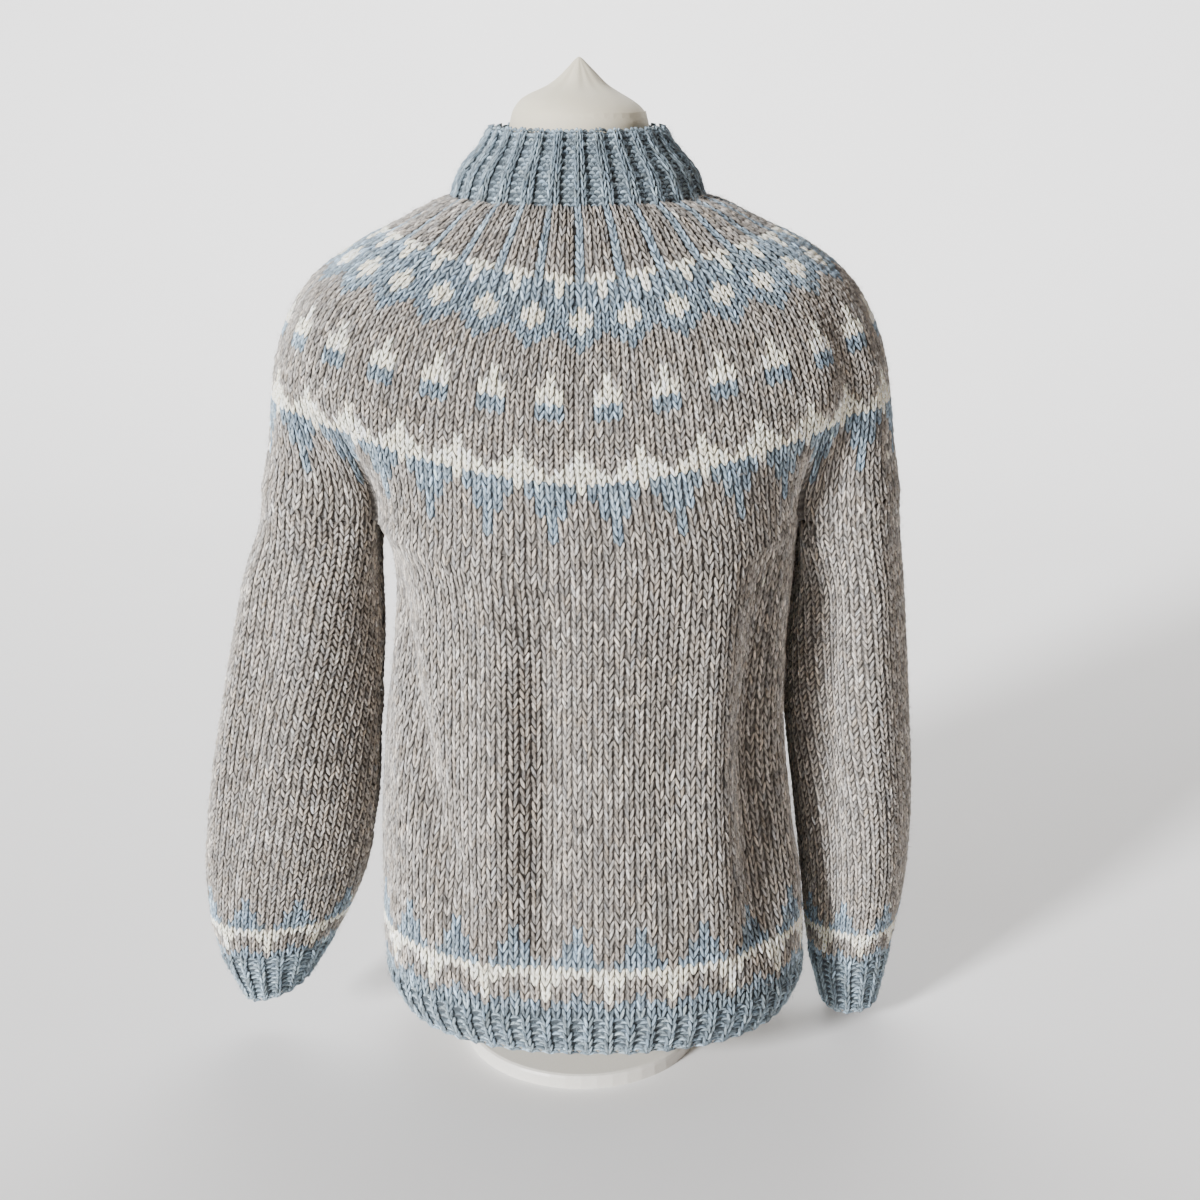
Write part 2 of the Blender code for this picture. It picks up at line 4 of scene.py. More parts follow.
import bpy
import numpy as np
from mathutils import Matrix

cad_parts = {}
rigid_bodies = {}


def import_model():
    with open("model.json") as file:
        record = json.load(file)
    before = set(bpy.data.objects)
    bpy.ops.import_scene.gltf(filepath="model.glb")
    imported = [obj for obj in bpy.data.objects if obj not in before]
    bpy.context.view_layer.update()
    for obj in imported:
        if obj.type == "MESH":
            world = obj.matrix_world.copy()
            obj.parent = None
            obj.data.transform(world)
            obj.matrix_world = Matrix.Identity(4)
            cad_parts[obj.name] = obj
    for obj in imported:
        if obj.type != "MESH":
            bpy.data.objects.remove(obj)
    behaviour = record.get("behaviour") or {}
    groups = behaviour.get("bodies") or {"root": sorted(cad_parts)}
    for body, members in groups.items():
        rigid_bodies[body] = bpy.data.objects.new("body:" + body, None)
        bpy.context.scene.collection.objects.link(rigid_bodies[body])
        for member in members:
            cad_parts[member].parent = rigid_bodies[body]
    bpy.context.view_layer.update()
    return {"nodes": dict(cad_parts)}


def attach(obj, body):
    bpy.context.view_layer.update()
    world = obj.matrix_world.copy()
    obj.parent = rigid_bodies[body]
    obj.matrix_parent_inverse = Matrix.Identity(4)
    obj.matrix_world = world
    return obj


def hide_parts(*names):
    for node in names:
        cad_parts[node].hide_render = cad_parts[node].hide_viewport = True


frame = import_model()
dice = np.random.default_rng(7)
print("CAD nodes:", sorted(frame["nodes"]))

# %% [markdown]
# A sweater knitted in the round is made of tubes, and everything on it is counted in
# stitches and rows. This lesson does the same. It first describes each tube as a surface
# that can be asked for "stitch 12, row 30", and then lays real stitches on it one by one.
# A bump texture would be lighter, but bulky wool has stitches 8 mm wide whose legs cast
# shadows and break the outline, so here they are geometry.

# %% Counts and seam heights
BODY_STITCHES, SLEEVE_STITCHES, YOKE_STITCHES = 120, 40, 168
REPEATS, NECK_STITCHES, HEM_RIBS, CUFF_RIBS = 28, 112, 60, 18
UNDERARM_HALF, BODY_ARC_HALF, SLEEVE_ARC = 4, 26, 32
YOKE_ROWS, BODY_ROWS, SLEEVE_ROWS = 50, 52, 72
NECK_ROWS, HEM_ROWS, CUFF_ROWS = 9, 6, 9
WALL, RIB_RIDGE = 0.0040, 0.0018
# how far the yarn's own surface lies under the CAD wall, so that its crests meet it
STITCH_SINK = 0.0011
UNDERARM_Z, JOIN_MIDDLE_SAG, SAG_FOOT_Z, JOIN_SLEEVE_RISE = 0.4660, 0.0220, 0.3000, 0.0210
NECK_RIM_Z, NECK_FOOT_Z = 0.7595, 0.7100
HEM_TOP_Z, HEM_RIM_Z = 0.0930, 0.0510
# the body's middle at the join: its columns stay upright under it where the body leans
JOIN_MIDDLE_X, STITCH_WIDTH = 0.0060, 0.0083
print("stitches round the join:", YOKE_STITCHES, "and round the body:", BODY_STITCHES)

# %% [markdown]
# The shape of each tube is a table of section sizes, the same that the CAD solids were
# made from, so apart from the folds the knitting lies on them. The yoke is listed by row
# from the neck down, the body and sleeves by height.

# %% Section tables
# row, left x, right x, side z, front y, front z, back y, back z
YOKE_RINGS = (
    (0.0, -0.0960, 0.0945, 0.7100, -0.0830, 0.7100, 0.0830, 0.7100),
    (3.0, -0.1120, 0.1130, 0.7050, -0.0945, 0.6960, 0.0930, 0.6980),
    (7.0, -0.1330, 0.1350, 0.6945, -0.1060, 0.6750, 0.1030, 0.6780),
    (14.0, -0.1710, 0.1760, 0.6745, -0.1210, 0.6380, 0.1170, 0.6430),
    (21.0, -0.2050, 0.2075, 0.6490, -0.1310, 0.6070, 0.1260, 0.6110),
    (26.0, -0.2220, 0.2230, 0.6250, -0.1360, 0.5800, 0.1310, 0.5840),
    (31.0, -0.2320, 0.2335, 0.5990, -0.1395, 0.5530, 0.1340, 0.5560),
    (38.0, -0.2395, 0.2410, 0.5610, -0.1430, 0.5190, 0.1365, 0.5200),
    (45.0, -0.2450, 0.2470, 0.5180, -0.1440, 0.4750, 0.1370, 0.4750),
    (50.0, -0.2525, 0.2530, 0.4870, -0.1440, 0.4440, 0.1370, 0.4440),
)
# height, shares of the yoke's first row in width and depth, lean toward +X
NECK_LEVELS = (
    (0.7100, 1.000, 1.000, 0.0000),
    (0.7290, 0.925, 0.905, -0.0003),
    (0.7480, 0.755, 0.790, -0.0008),
    (0.7595, 0.685, 0.735, -0.0010),
)
# height, left x, right x, front y, back y
BODY_RINGS = (
    (0.051, -0.1540, 0.1780, -0.1265, 0.1220),
    (0.070, -0.1630, 0.1865, -0.1325, 0.1270),
    (0.093, -0.1665, 0.1875, -0.1345, 0.1290),
    (0.150, -0.1665, 0.1840, -0.1345, 0.1300),
    (0.205, -0.1655, 0.1750, -0.1335, 0.1290),
    (0.303, -0.1580, 0.1640, -0.1340, 0.1270),
    (0.372, -0.1515, 0.1655, -0.1385, 0.1290),
    (0.423, -0.1485, 0.1690, -0.1420, 0.1330),
    (0.448, -0.1520, 0.1705, -0.1435, 0.1355),
    (0.466, -0.1605, 0.1725, -0.1440, 0.1370),
)
# centre height, inner x, outer x, middle y, half depth, outer side's rise over inner side
SLEEVE_RINGS = {
    -1: (
        (0.4765, -0.1608, -0.2525, 0.0000, 0.0600, 0.021),
        (0.4550, -0.1570, -0.2575, -0.0010, 0.0590, 0.022),
        (0.4200, -0.1545, -0.2660, -0.0030, 0.0570, 0.022),
        (0.3700, -0.1540, -0.2785, -0.0060, 0.0540, 0.012),
        (0.3000, -0.1625, -0.2945, -0.0080, 0.0520, 0.000),
        (0.2100, -0.1700, -0.3105, -0.0100, 0.0520, 0.000),
        (0.1500, -0.1835, -0.3155, -0.0120, 0.0500, -0.003),
        (0.0980, -0.2065, -0.3080, -0.0140, 0.0440, -0.012),
        (0.0560, -0.2315, -0.2880, -0.0160, 0.0330, -0.018),
    ),
    1: (
        (0.4765, 0.1728, 0.2530, 0.0000, 0.0600, 0.021),
        (0.4550, 0.1745, 0.2555, 0.0030, 0.0600, 0.022),
        (0.4200, 0.1730, 0.2585, 0.0080, 0.0610, 0.020),
        (0.3700, 0.1700, 0.2645, 0.0130, 0.0620, 0.012),
        (0.3000, 0.1690, 0.2720, 0.0180, 0.0640, 0.000),
        (0.2100, 0.1800, 0.2785, 0.0220, 0.0650, 0.000),
        (0.1400, 0.1890, 0.2775, 0.0240, 0.0600, 0.003),
        (0.0750, 0.1975, 0.2690, 0.0250, 0.0490, 0.008),
        (0.0210, 0.2110, 0.2590, 0.0250, 0.0360, 0.006),
    ),
}
SLEEVE_TOP_Z = 0.4765
CUFF_TOP_Z = {-1: 0.0980, 1: 0.0750}
CUFF_RIM_Z = {-1: 0.0560, 1: 0.0210}
SLEEVE_CAP = ((0.0, None), (0.16, 0.93), (0.50, 1.05), (0.84, 0.72), (1.0, 0.0))
print("section rows:", len(YOKE_RINGS) + len(BODY_RINGS) + 2 * len(SLEEVE_RINGS[1]))

# %% [markdown]
# Two helpers carry the shapes. One reads a table at any place along a smooth curve, as a
# draughtsman's spline would. The other walks round a squared oval in equal steps, because
# stitches are all about the same width. A third counts round a tube both ways from its
# front middle, so that left and right can share a rule.

# %% Curve helpers
# points on a whole oval and on one sleeve's arc, before they are spaced out evenly
OVAL_POINTS, ARC_POINTS = 721, 161


def smooth_steps(share):
    """0 to 1 with level ends."""
    share = np.clip(share, 0.0, 1.0)
    return share * share * (3.0 - 2.0 * share)


def signed(places, around):
    """Places round a tube counted both ways from its first, negative to the left."""
    return np.mod(places + around / 2.0, around) - around / 2.0


def read_table(table, place):
    """Every column of a table at a place in its first column, along a smooth curve."""
    rows = np.array(table, dtype=float)
    rows = rows[np.argsort(rows[:, 0])]
    at = rows[:, 0]
    slopes = np.gradient(rows, at, axis=0)
    low = int(np.clip(np.searchsorted(at, place) - 1, 0, len(at) - 2))
    step = at[low + 1] - at[low]
    t = (place - at[low]) / step
    h00 = 2 * t**3 - 3 * t**2 + 1
    h10 = t**3 - 2 * t**2 + t
    value = h00 * rows[low] + (1 - h00) * rows[low + 1]
    value = value + h10 * step * slopes[low] + (t**3 - t**2) * step * slopes[low + 1]
    return value[1:]


def along(points, shares):
    """Points at equal shares of a polyline's length."""
    lengths = np.linalg.norm(np.diff(points, axis=0), axis=1)
    run = np.concatenate([[0.0], np.cumsum(lengths)]) / lengths.sum()
    return np.stack([np.interp(shares, run, column) for column in points.T], axis=1)


def oval(shares, left, right, front, back, squareness, start=0.0):
    """A squared oval in plan, from its front middle through +X. start turns it."""
    angle = np.linspace(0.0, 2.0 * math.pi, OVAL_POINTS) + start
    across = np.sign(np.sin(angle)) * np.abs(np.sin(angle)) ** (2.0 / squareness)
    ahead = np.sign(np.cos(angle)) * np.abs(np.cos(angle)) ** (2.0 / squareness)
    x = (left + right) / 2.0 + across * (right - left) / 2.0
    y = np.where(ahead > 0.0, front * ahead, -back * ahead)
    return along(np.stack([x, y], axis=1), np.mod(shares, 1.0))


print("half way down the yoke:", np.round(read_table(YOKE_RINGS, 25.0), 3))

# %% [markdown]
# The body is the simplest tube. Its join with the yoke sags at the middle of the front
# and back, because the chest carries the cloth forward there. Over each sleeve the join
# follows an arc of 32 stitches, and the yoke's last row strings these four arcs together.

# %% Body, join and yoke sections
def body_ring(columns, height):
    """The body's outer cloth at one height."""
    left, right, front, back = read_table(BODY_RINGS, height)
    lean = ((left + right) / 2.0 - JOIN_MIDDLE_X) / STITCH_WIDTH
    upright = columns - lean * np.cos(2.0 * math.pi * columns / BODY_STITCHES)
    plan = oval(upright / BODY_STITCHES, left, right, front, back, 2.35)
    from_middle = np.abs(signed(columns, BODY_STITCHES / 2.0))
    sag = -JOIN_MIDDLE_SAG * smooth_steps((BODY_ARC_HALF - from_middle) / BODY_ARC_HALF)
    share = smooth_steps((height - SAG_FOOT_Z) / (UNDERARM_Z - SAG_FOOT_Z))
    return np.column_stack([plan, height + sag * share])


def sleeve_cap_arc(side, shares):
    """The join over one sleeve, from its front end to its back end."""
    ends = side * np.array([BODY_ARC_HALF, BODY_STITCHES / 2.0 - BODY_ARC_HALF])
    front_end, back_end = body_ring(ends, UNDERARM_Z)
    outer, depth = SLEEVE_RINGS[side][0][2], SLEEVE_RINGS[side][0][4]
    half = []
    for out, ahead in SLEEVE_CAP:
        x = front_end[0] + out * (outer - front_end[0])
        half.append((x, front_end[1] if ahead is None else -ahead * depth))
    mirrored = [(x, -y) for x, y in half[-2:0:-1]] + [(back_end[0], back_end[1])]
    points = [(i, *point) for i, point in enumerate(half + mirrored)]
    places = np.linspace(0.0, len(points) - 1.0, ARC_POINTS)
    plan = along(np.array([read_table(points, place) for place in places]), shares)
    out = (plan[:, 0] - front_end[0]) / (outer - front_end[0])
    return np.column_stack([plan, UNDERARM_Z + JOIN_SLEEVE_RISE * smooth_steps(out)])


def join_ring(columns):
    """The yoke's lowest row: body front, right sleeve, body back, left sleeve."""
    count = signed(columns, YOKE_STITCHES)
    size = np.abs(count)
    ring = np.zeros((len(count), 3))
    front = size <= BODY_ARC_HALF
    back = size >= BODY_ARC_HALF + SLEEVE_ARC
    ring[front] = body_ring(count[front], UNDERARM_Z)
    turned = np.sign(count[back]) * (size[back] - (YOKE_STITCHES - BODY_STITCHES) / 2.0)
    ring[back] = body_ring(turned, UNDERARM_Z)
    for side in (1, -1):
        over = ~front & ~back & (np.sign(count) == side)
        ring[over] = sleeve_cap_arc(side, (size[over] - BODY_ARC_HALF) / SLEEVE_ARC)
    return ring


def plain_yoke_ring(columns, row):
    """The yoke's row before it parts for the sleeves: a squared oval, higher at its sides."""
    left, right, side_z, front, front_z, back, back_z = read_table(YOKE_RINGS, row)
    squareness = 2.0 + 0.35 * row / YOKE_ROWS
    plan = oval(columns / YOKE_STITCHES, left, right, front, back, squareness)
    aside = np.abs(plan[:, 0] - (left + right) / 2.0) / ((right - left) / 2.0)
    middle_z = front_z + (back_z - front_z) * smooth_steps((plan[:, 1] - front) / (back - front))
    return np.column_stack([plan, middle_z + (side_z - middle_z) * aside**1.35])


# the row where the yoke starts to part for the sleeves
PARTING_ROW = 31.0
parting = {}


def yoke_ring(columns, row):
    """The yoke's outer cloth at one row."""
    if "ring" not in parting:
        parting["ring"] = join_ring(columns) - plain_yoke_ring(columns, YOKE_ROWS)
    pinch = smooth_steps((row - PARTING_ROW) / (YOKE_ROWS - PARTING_ROW)) ** 1.3
    return plain_yoke_ring(columns, row) + parting["ring"] * pinch


hem_round = body_ring(np.arange(BODY_STITCHES + 1.0), HEM_TOP_Z)
hem_length = np.linalg.norm(np.diff(hem_round, axis=0), axis=1).sum()
print("round the hem, in metres:", round(float(hem_length), 3))

# %% [markdown]
# A sleeve starts as the join's arc and settles over 75 mm into its own oval section. Its
# stitches are counted from the underarm, where the increases are hidden on a real one.

# %% Sleeve sections
# how far down a sleeve's first ring eases into its own section
SETTLE_LENGTH = 0.075


def sleeve_ring(side, columns, height):
    """One sleeve's own oval section, for columns from the underarm toward the front."""
    inner, outer, middle, depth, rise = read_table(SLEEVE_RINGS[side], height)
    low, high = min(inner, outer), max(inner, outer)
    plan = oval(columns / SLEEVE_STITCHES, low, high, -depth, depth, 2.1, -math.pi / 2.0)
    if side < 0:
        plan[:, 0] = low + high - plan[:, 0]
    plan[:, 1] = plan[:, 1] + middle
    out = (plan[:, 0] - inner) / (outer - inner)
    return np.column_stack([plan, height + rise * (out - 0.5)])


def sleeve_top_ring(side, columns):
    """The sleeve's first ring: 32 stitches from the yoke and 8 grafted at the underarm."""
    count = np.mod(columns + UNDERARM_HALF, SLEEVE_STITCHES) - UNDERARM_HALF
    ring = np.zeros((len(count), 3))
    under = count <= UNDERARM_HALF
    ring[under] = body_ring(side * (BODY_STITCHES / 4.0 - count[under]), UNDERARM_Z)
    ring[under, 0] += side * 0.0003
    ring[~under] = sleeve_cap_arc(side, (count[~under] - UNDERARM_HALF) / SLEEVE_ARC)
    return ring


def settled_ring(side, columns, height):
    """The sleeve's outer cloth, easing from its first ring into its own section."""
    lowered = sleeve_top_ring(side, columns) - np.array([0.0, 0.0, SLEEVE_TOP_Z - height])
    settle = smooth_steps((SLEEVE_TOP_Z - height) / SETTLE_LENGTH)
    return lowered + (sleeve_ring(side, columns, height) - lowered) * settle


def neck_ring(columns, height):
    """The neck rib's plain section, for columns counted as on the yoke."""
    top = read_table(YOKE_RINGS, 0.0)
    wide, deep, lean = read_table(NECK_LEVELS, height)
    sides = (top[0] * wide, top[1] * wide, top[3] * deep, top[5] * deep)
    plan = oval(columns / YOKE_STITCHES, *sides, 2.0)
    plan[:, 0] += lean
    return np.column_stack([plan, np.full(len(plan), height)])


elbow = np.ptp(sleeve_ring(1, np.arange(0.0, SLEEVE_STITCHES), 0.25), axis=0)
print("right sleeve at the elbow, width and depth in metres:", np.round(elbow[:2], 3))

# %% [markdown]
# The folds come from the photograph: where the cloth hangs from the bust it makes one
# deep trough left of the middle, a soft ridge on each side of it, a crease running down
# from the left armpit, and a broad hollow on the right. Each is a soft trough or ridge of
# its own width, depth and length. The hidden back gets folds of the same family.

# %% Folds
# middle column, half width in stitches, depth (minus sinks in), foot and head heights,
# drift in stitches from foot to head
BODY_FOLDS = (
    (-3.9, 2.5, -0.0135, 0.08, 0.47, -0.6),
    (-9.5, 3.0, 0.0080, 0.10, 0.46, 0.6),
    (4.0, 5.0, 0.0040, 0.08, 0.44, -1.5),
    (12.4, 2.8, 0.0080, 0.09, 0.46, 0.4),
    (18.2, 3.0, -0.0165, 0.07, 0.46, 0.4),
    (-10.5, 2.4, -0.0095, 0.14, 0.46, -14.5),
    (-30.0, 5.0, -0.0030, 0.31, 0.47, 0.0),
    (11.5, 1.8, -0.0022, 0.10, 0.30, 1.0),
    (24.5, 2.2, 0.0030, 0.12, 0.36, 0.8),
    (38.0, 5.0, 0.0040, 0.10, 0.42, 1.0),
    (45.0, 3.4, -0.0075, 0.08, 0.44, -1.0),
    (53.0, 5.0, 0.0040, 0.08, 0.44, 1.0),
    (62.0, 3.8, -0.0070, 0.07, 0.45, 1.5),
    (70.0, 5.0, 0.0045, 0.08, 0.43, -1.0),
    (78.0, 3.4, -0.0060, 0.10, 0.44, 2.0),
)
SLEEVE_FOLDS = {
    -1: (
        (1.0, 5.0, -0.0060, 0.31, 0.47, 0.0),
        (15.0, 2.0, -0.0075, 0.12, 0.46, -1.5),
        (9.0, 2.6, 0.0040, 0.16, 0.44, 0.5),
        (11.5, 1.2, -0.0022, 0.30, 0.44, 1.5),
        (17.5, 1.4, -0.0020, 0.12, 0.27, -1.0),
        (25.0, 2.4, -0.0050, 0.12, 0.44, 1.5),
        (31.0, 3.0, 0.0035, 0.12, 0.42, 0.0),
    ),
    1: (
        (6.6, 2.6, -0.0150, 0.08, 0.50, 0.6),
        (11.6, 2.2, 0.0060, 0.08, 0.48, 0.0),
        (12.0, 1.2, -0.0020, 0.12, 0.30, 0.6),
        (25.0, 2.4, -0.0055, 0.12, 0.45, -1.5),
        (32.0, 2.6, 0.0030, 0.12, 0.42, 1.0),
    ),
}


def fold_depth(folds, columns, heights, around):
    """How far the folds move the cloth outward over a grid of columns and heights."""
    total = np.zeros(heights.shape)
    for middle, half, depth, foot, head, drift in folds:
        rise = np.clip((heights - foot) / (head - foot), 0.0, 1.0)
        fade = np.sin(math.pi * rise) ** 0.6
        away = signed(columns - middle - drift * rise, around)
        total = total + depth * fade * np.exp(-((away / half) ** 2))
    return total


def ridge_wave(columns):
    """1 on the two knit columns of each neck rib and 0 between, counted as on the yoke."""
    away = signed((columns - 0.75) * REPEATS / YOKE_STITCHES, 1.0)
    return np.exp(-((np.abs(away) / 0.29) ** 4))


def parting_crease(side, columns):
    """The crease in front where a sleeve parts from the body, counted as on the yoke."""
    depth = 0.0095 if side > 0 else 0.0060
    away = signed(side * columns - 30.5, YOKE_STITCHES)
    return -depth * np.exp(-((away / 2.6) ** 2))


def yoke_pleats(columns, rows):
    """The yoke's relief: neck ribs dying out, blue wales sunk between brown ones, the faint
    line in the middle where every round begins, and the creases where the sleeves part."""
    away = signed(columns, YOKE_STITCHES / REPEATS)
    pleats = -0.0017 * np.exp(-((away + 0.45) / 0.75) ** 2) * smooth_steps((11.0 - rows) / 4.0)
    from_rib = ridge_wave(columns) * RIB_RIDGE * (1.0 - smooth_steps(rows / 5.0))
    middle = signed(columns + 0.5, YOKE_STITCHES)
    start = -0.0014 * np.exp(-((middle / 0.8) ** 2)) * smooth_steps((36.0 - rows) / 10.0)
    creases = 0.0
    for side, first in ((1, 14.0), (-1, 28.0)):
        creases = creases + parting_crease(side, columns) * smooth_steps((rows - first) / 20.0)
    return pleats + start + from_rib + creases


print("folds:", len(BODY_FOLDS) + len(SLEEVE_FOLDS[1]) + len(SLEEVE_FOLDS[-1]))

# %% [markdown]
# Each tube is sampled once as a grid of points with its outward directions. Asking for a
# place between grid points is then quick, even for half a million of them, and a place
# just past a rim continues straight on.

# %% Tubes as grids
def outward_of(points):
    """Unit directions out of a tube's grid, whose rows run down and columns round."""
    ahead = np.roll(points, -1, axis=1) - np.roll(points, 1, axis=1)
    down = np.gradient(points, axis=0)
    outward = np.cross(down, ahead)
    return outward / np.linalg.norm(outward, axis=2)[:, :, None]


def make_tube(ring_at, around, rows, relief=None, steps=2):
    """A tube sampled at steps to a stitch. ring_at(columns, row) gives a ring."""
    columns = np.arange(around * steps) / steps
    levels = np.arange(rows * steps + 1) / steps
    points = np.array([ring_at(columns, row) for row in levels])
    if relief:
        points = points + outward_of(points) * relief(columns, levels, points)[:, :, None]
    tube = {"points": points, "outward": outward_of(points)}
    return {**tube, "around": around, "rows": rows, "steps": steps}


def on_tube(tube, columns, rows, lift):
    """Places counted in stitches and rows, lifted off the cloth in metres."""
    across = np.mod(columns, tube["around"]) * tube["steps"]
    down = rows * tube["steps"]
    first = np.floor(across).astype(int)
    upper = np.clip(np.floor(down).astype(int), 0, len(tube["points"]) - 2)
    beside = (across - first)[..., None]
    below = (down - upper)[..., None]
    wide = tube["points"].shape[1]
    first = np.mod(first, wide)
    second = np.mod(first + 1, wide)
    found = []
    for grid in (tube["points"], tube["outward"]):
        high = grid[upper, first] * (1 - beside) + grid[upper, second] * beside
        low = grid[upper + 1, first] * (1 - beside) + grid[upper + 1, second] * beside
        found.append(high * (1 - below) + low * below)
    return found[0] + found[1] * np.asarray(lift)[..., None]


def body_row(columns, row):
    return body_ring(columns, UNDERARM_Z + (HEM_TOP_Z - UNDERARM_Z) * row / BODY_ROWS)


plain_body = make_tube(body_row, BODY_STITCHES, BODY_ROWS)
print("levels and columns in the body's grid:", plain_body["points"].shape[:2])

# %% [markdown]
# Relief is what stands off a plain tube. Ribs are rounded ridges. The body's folds run up
# over the join and die out on the yoke, and the crease where a sleeve parts from the body
# runs on down the sleeve, because real cloth doesn't stop folding at a join.

# %% Relief
# rows over which folds die out: the body's and the sleeves' at the join, and at the hem
JOIN_FADE_ROWS, BODY_FADE_ROWS, HEM_FADE_ROWS = 14.0, 12.0, 9.0
# stitches over which the body's folds ease out before the underarms
UNDERARM_FADE = 6.0
# the left sleeve's crease is shallower than the right one's
LEFT_CREASE = 0.63
# a rib's ridge is full this many rows from its first, and its plain rows before that
RIB_FADE, RIB_FOOT = 1.5, 0.5


def rib_relief(around, ribs):
    """Rounded ridges for a rib, fading over its plain rows."""
    def relief(columns, levels, points):
        wave = 0.5 + 0.5 * np.cos(2.0 * math.pi * columns * ribs / around)
        fade = smooth_steps((levels - RIB_FOOT) / RIB_FADE)
        return RIB_RIDGE * fade[:, None] * wave[None, :]
    return relief


def near_middle(columns):
    """1 on the body's front and back, easing to 0 toward the underarms."""
    away = np.abs(signed(columns, BODY_STITCHES / 2.0))
    return smooth_steps((BODY_ARC_HALF - away) / UNDERARM_FADE)


def body_relief(columns, levels, points):
    folds = fold_depth(BODY_FOLDS, columns[None, :], points[:, :, 2], BODY_STITCHES)
    below = smooth_steps(levels / BODY_FADE_ROWS)[:, None]
    folds = folds * (below + (1.0 - below) * near_middle(columns)[None, :])
    return folds * smooth_steps((BODY_ROWS - levels) / HEM_FADE_ROWS)[:, None]


def yoke_relief(columns, levels, points):
    """The yoke's own relief, and the body's folds dying out above the join."""
    count = signed(columns, YOKE_STITCHES)
    size = np.abs(count)
    behind = np.sign(count) * (size - (YOKE_STITCHES - BODY_STITCHES) / 2.0)
    on_body = np.where(size > YOKE_STITCHES / 4.0, behind, count)
    over_sleeve = (size > BODY_ARC_HALF) & (size < BODY_ARC_HALF + SLEEVE_ARC)
    share = np.where(over_sleeve, 0.0, near_middle(on_body))
    folds = fold_depth(BODY_FOLDS, on_body, points[-1, :, 2], BODY_STITCHES) * share
    rise = smooth_steps((levels - YOKE_ROWS + JOIN_FADE_ROWS) / JOIN_FADE_ROWS)
    return yoke_pleats(columns[None, :], levels[:, None]) + rise[:, None] * folds[None, :]


def neck_relief(columns, levels, points):
    ridges = 1.35 * RIB_RIDGE * (ridge_wave(columns) - 0.25)
    return ridges[None, :] * np.ones(len(levels))[:, None]


print("deepest fold, in mm:", 1000.0 * min(depth for _, _, depth, *_ in BODY_FOLDS))

# %% [markdown]
# Eight tubes make the sweater: the yoke, the body, two sleeves, and the four ribs at the
# neck, hem and wrists. The hem and cuffs have narrow ribs, so their grids are finer.

# %% The eight tubes
def neck_row(columns, row):
    return neck_ring(columns, NECK_RIM_Z + (NECK_FOOT_Z - NECK_RIM_Z) * row / NECK_ROWS)


def hem_row(columns, row):
    return body_ring(columns, HEM_TOP_Z + (HEM_RIM_Z - HEM_TOP_Z) * row / HEM_ROWS)


hem_relief = rib_relief(BODY_STITCHES, HEM_RIBS)
cuff_relief = rib_relief(SLEEVE_STITCHES, CUFF_RIBS)
tubes = {
    "yoke": make_tube(yoke_ring, YOKE_STITCHES, YOKE_ROWS, yoke_relief),
    "body": make_tube(body_row, BODY_STITCHES, BODY_ROWS, body_relief),
    "neck_rib": make_tube(neck_row, YOKE_STITCHES, NECK_ROWS, neck_relief),
    "hem_rib": make_tube(hem_row, BODY_STITCHES, HEM_ROWS, hem_relief, 4),
}
for side, word in ((-1, "left"), (1, "right")):
    def sleeve_row(columns, row, side=side):
        height = SLEEVE_TOP_Z + (CUFF_TOP_Z[side] - SLEEVE_TOP_Z) * row / SLEEVE_ROWS
        return settled_ring(side, side * columns, height)

    def cuff_row(columns, row, side=side):
        height = CUFF_TOP_Z[side] + (CUFF_RIM_Z[side] - CUFF_TOP_Z[side]) * row / CUFF_ROWS
        return sleeve_ring(side, side * columns, height)

    def sleeve_relief(columns, levels, points, side=side):
        count = side * columns
        folds = fold_depth(SLEEVE_FOLDS[side], count[None, :], points[:, :, 2], SLEEVE_STITCHES)
        on_yoke = np.mod(count, SLEEVE_STITCHES) + BODY_ARC_HALF - UNDERARM_HALF
        crease = parting_crease(1, on_yoke) * (1.0 if side > 0 else LEFT_CREASE)
        share = smooth_steps(levels / JOIN_FADE_ROWS)[:, None]
        return folds * share + crease[None, :] * (1.0 - share)

    tubes["sleeve_" + word] = make_tube(sleeve_row, SLEEVE_STITCHES, SLEEVE_ROWS, sleeve_relief)
    tubes["cuff_" + word] = make_tube(cuff_row, SLEEVE_STITCHES, CUFF_ROWS, cuff_relief, 4)
print("tubes:", {name: tube["points"].shape[:2] for name, tube in tubes.items()})

# %% [markdown]
# The pattern was charted from the photograph, as a knitter would: one letter to
# a stitch, one string to a row, repeated round. It is a traditional Nordic yoke. Above
# row 13 a repeat has 4 stitches and below it 6, because a yoke grows as it goes down.
# g is grey-brown, b blue, c cream, and r the tighter, darker blue of the ribs.

# %% Charts
YOKE_CHART = (
    ["bggg"] * 9 + ["bccc", "bbcb", "bbcb", "bbbb"]
    + ["cbbbbb", "ccbbbc", "ccbbbc", "cbbbbb"]
    + ["bbbgbb", "bbgggb", "bggggg"] + ["gggggg"] * 3
    + ["gggcgg", "gggcgg", "ggcccg", "ggcccg", "ggbbbg", "ggbbbg"] + ["gggggg"] * 4
    + ["cggggg", "cggggg", "ccgggc", "cccgcc", "cccccc"]
    + ["cbbbbb", "gbbbbb", "ggbbbg", "ggbbbg", "gggbgg", "gggbgg", "gggbgg"]
    + ["gggggg"] * 5
)
# from the plain part down to the rib
BORDER_CHART = (
    ["gggbgg", "gggbgg", "ggbbbg", "ggbbbg", "gbbbbb"]
    + ["cccccc", "ccgggc", "cggggg", "cggbgg", "gbbbbb"]
)
# a repeat's stitches at the foot of the yoke and in the borders
REPEAT_STITCHES = 6
assert len(YOKE_CHART) == YOKE_ROWS


def chart_letter(row_text, place):
    """The letter at each place of a repeated row."""
    return np.array(list(row_text))[np.mod(place, len(row_text))]


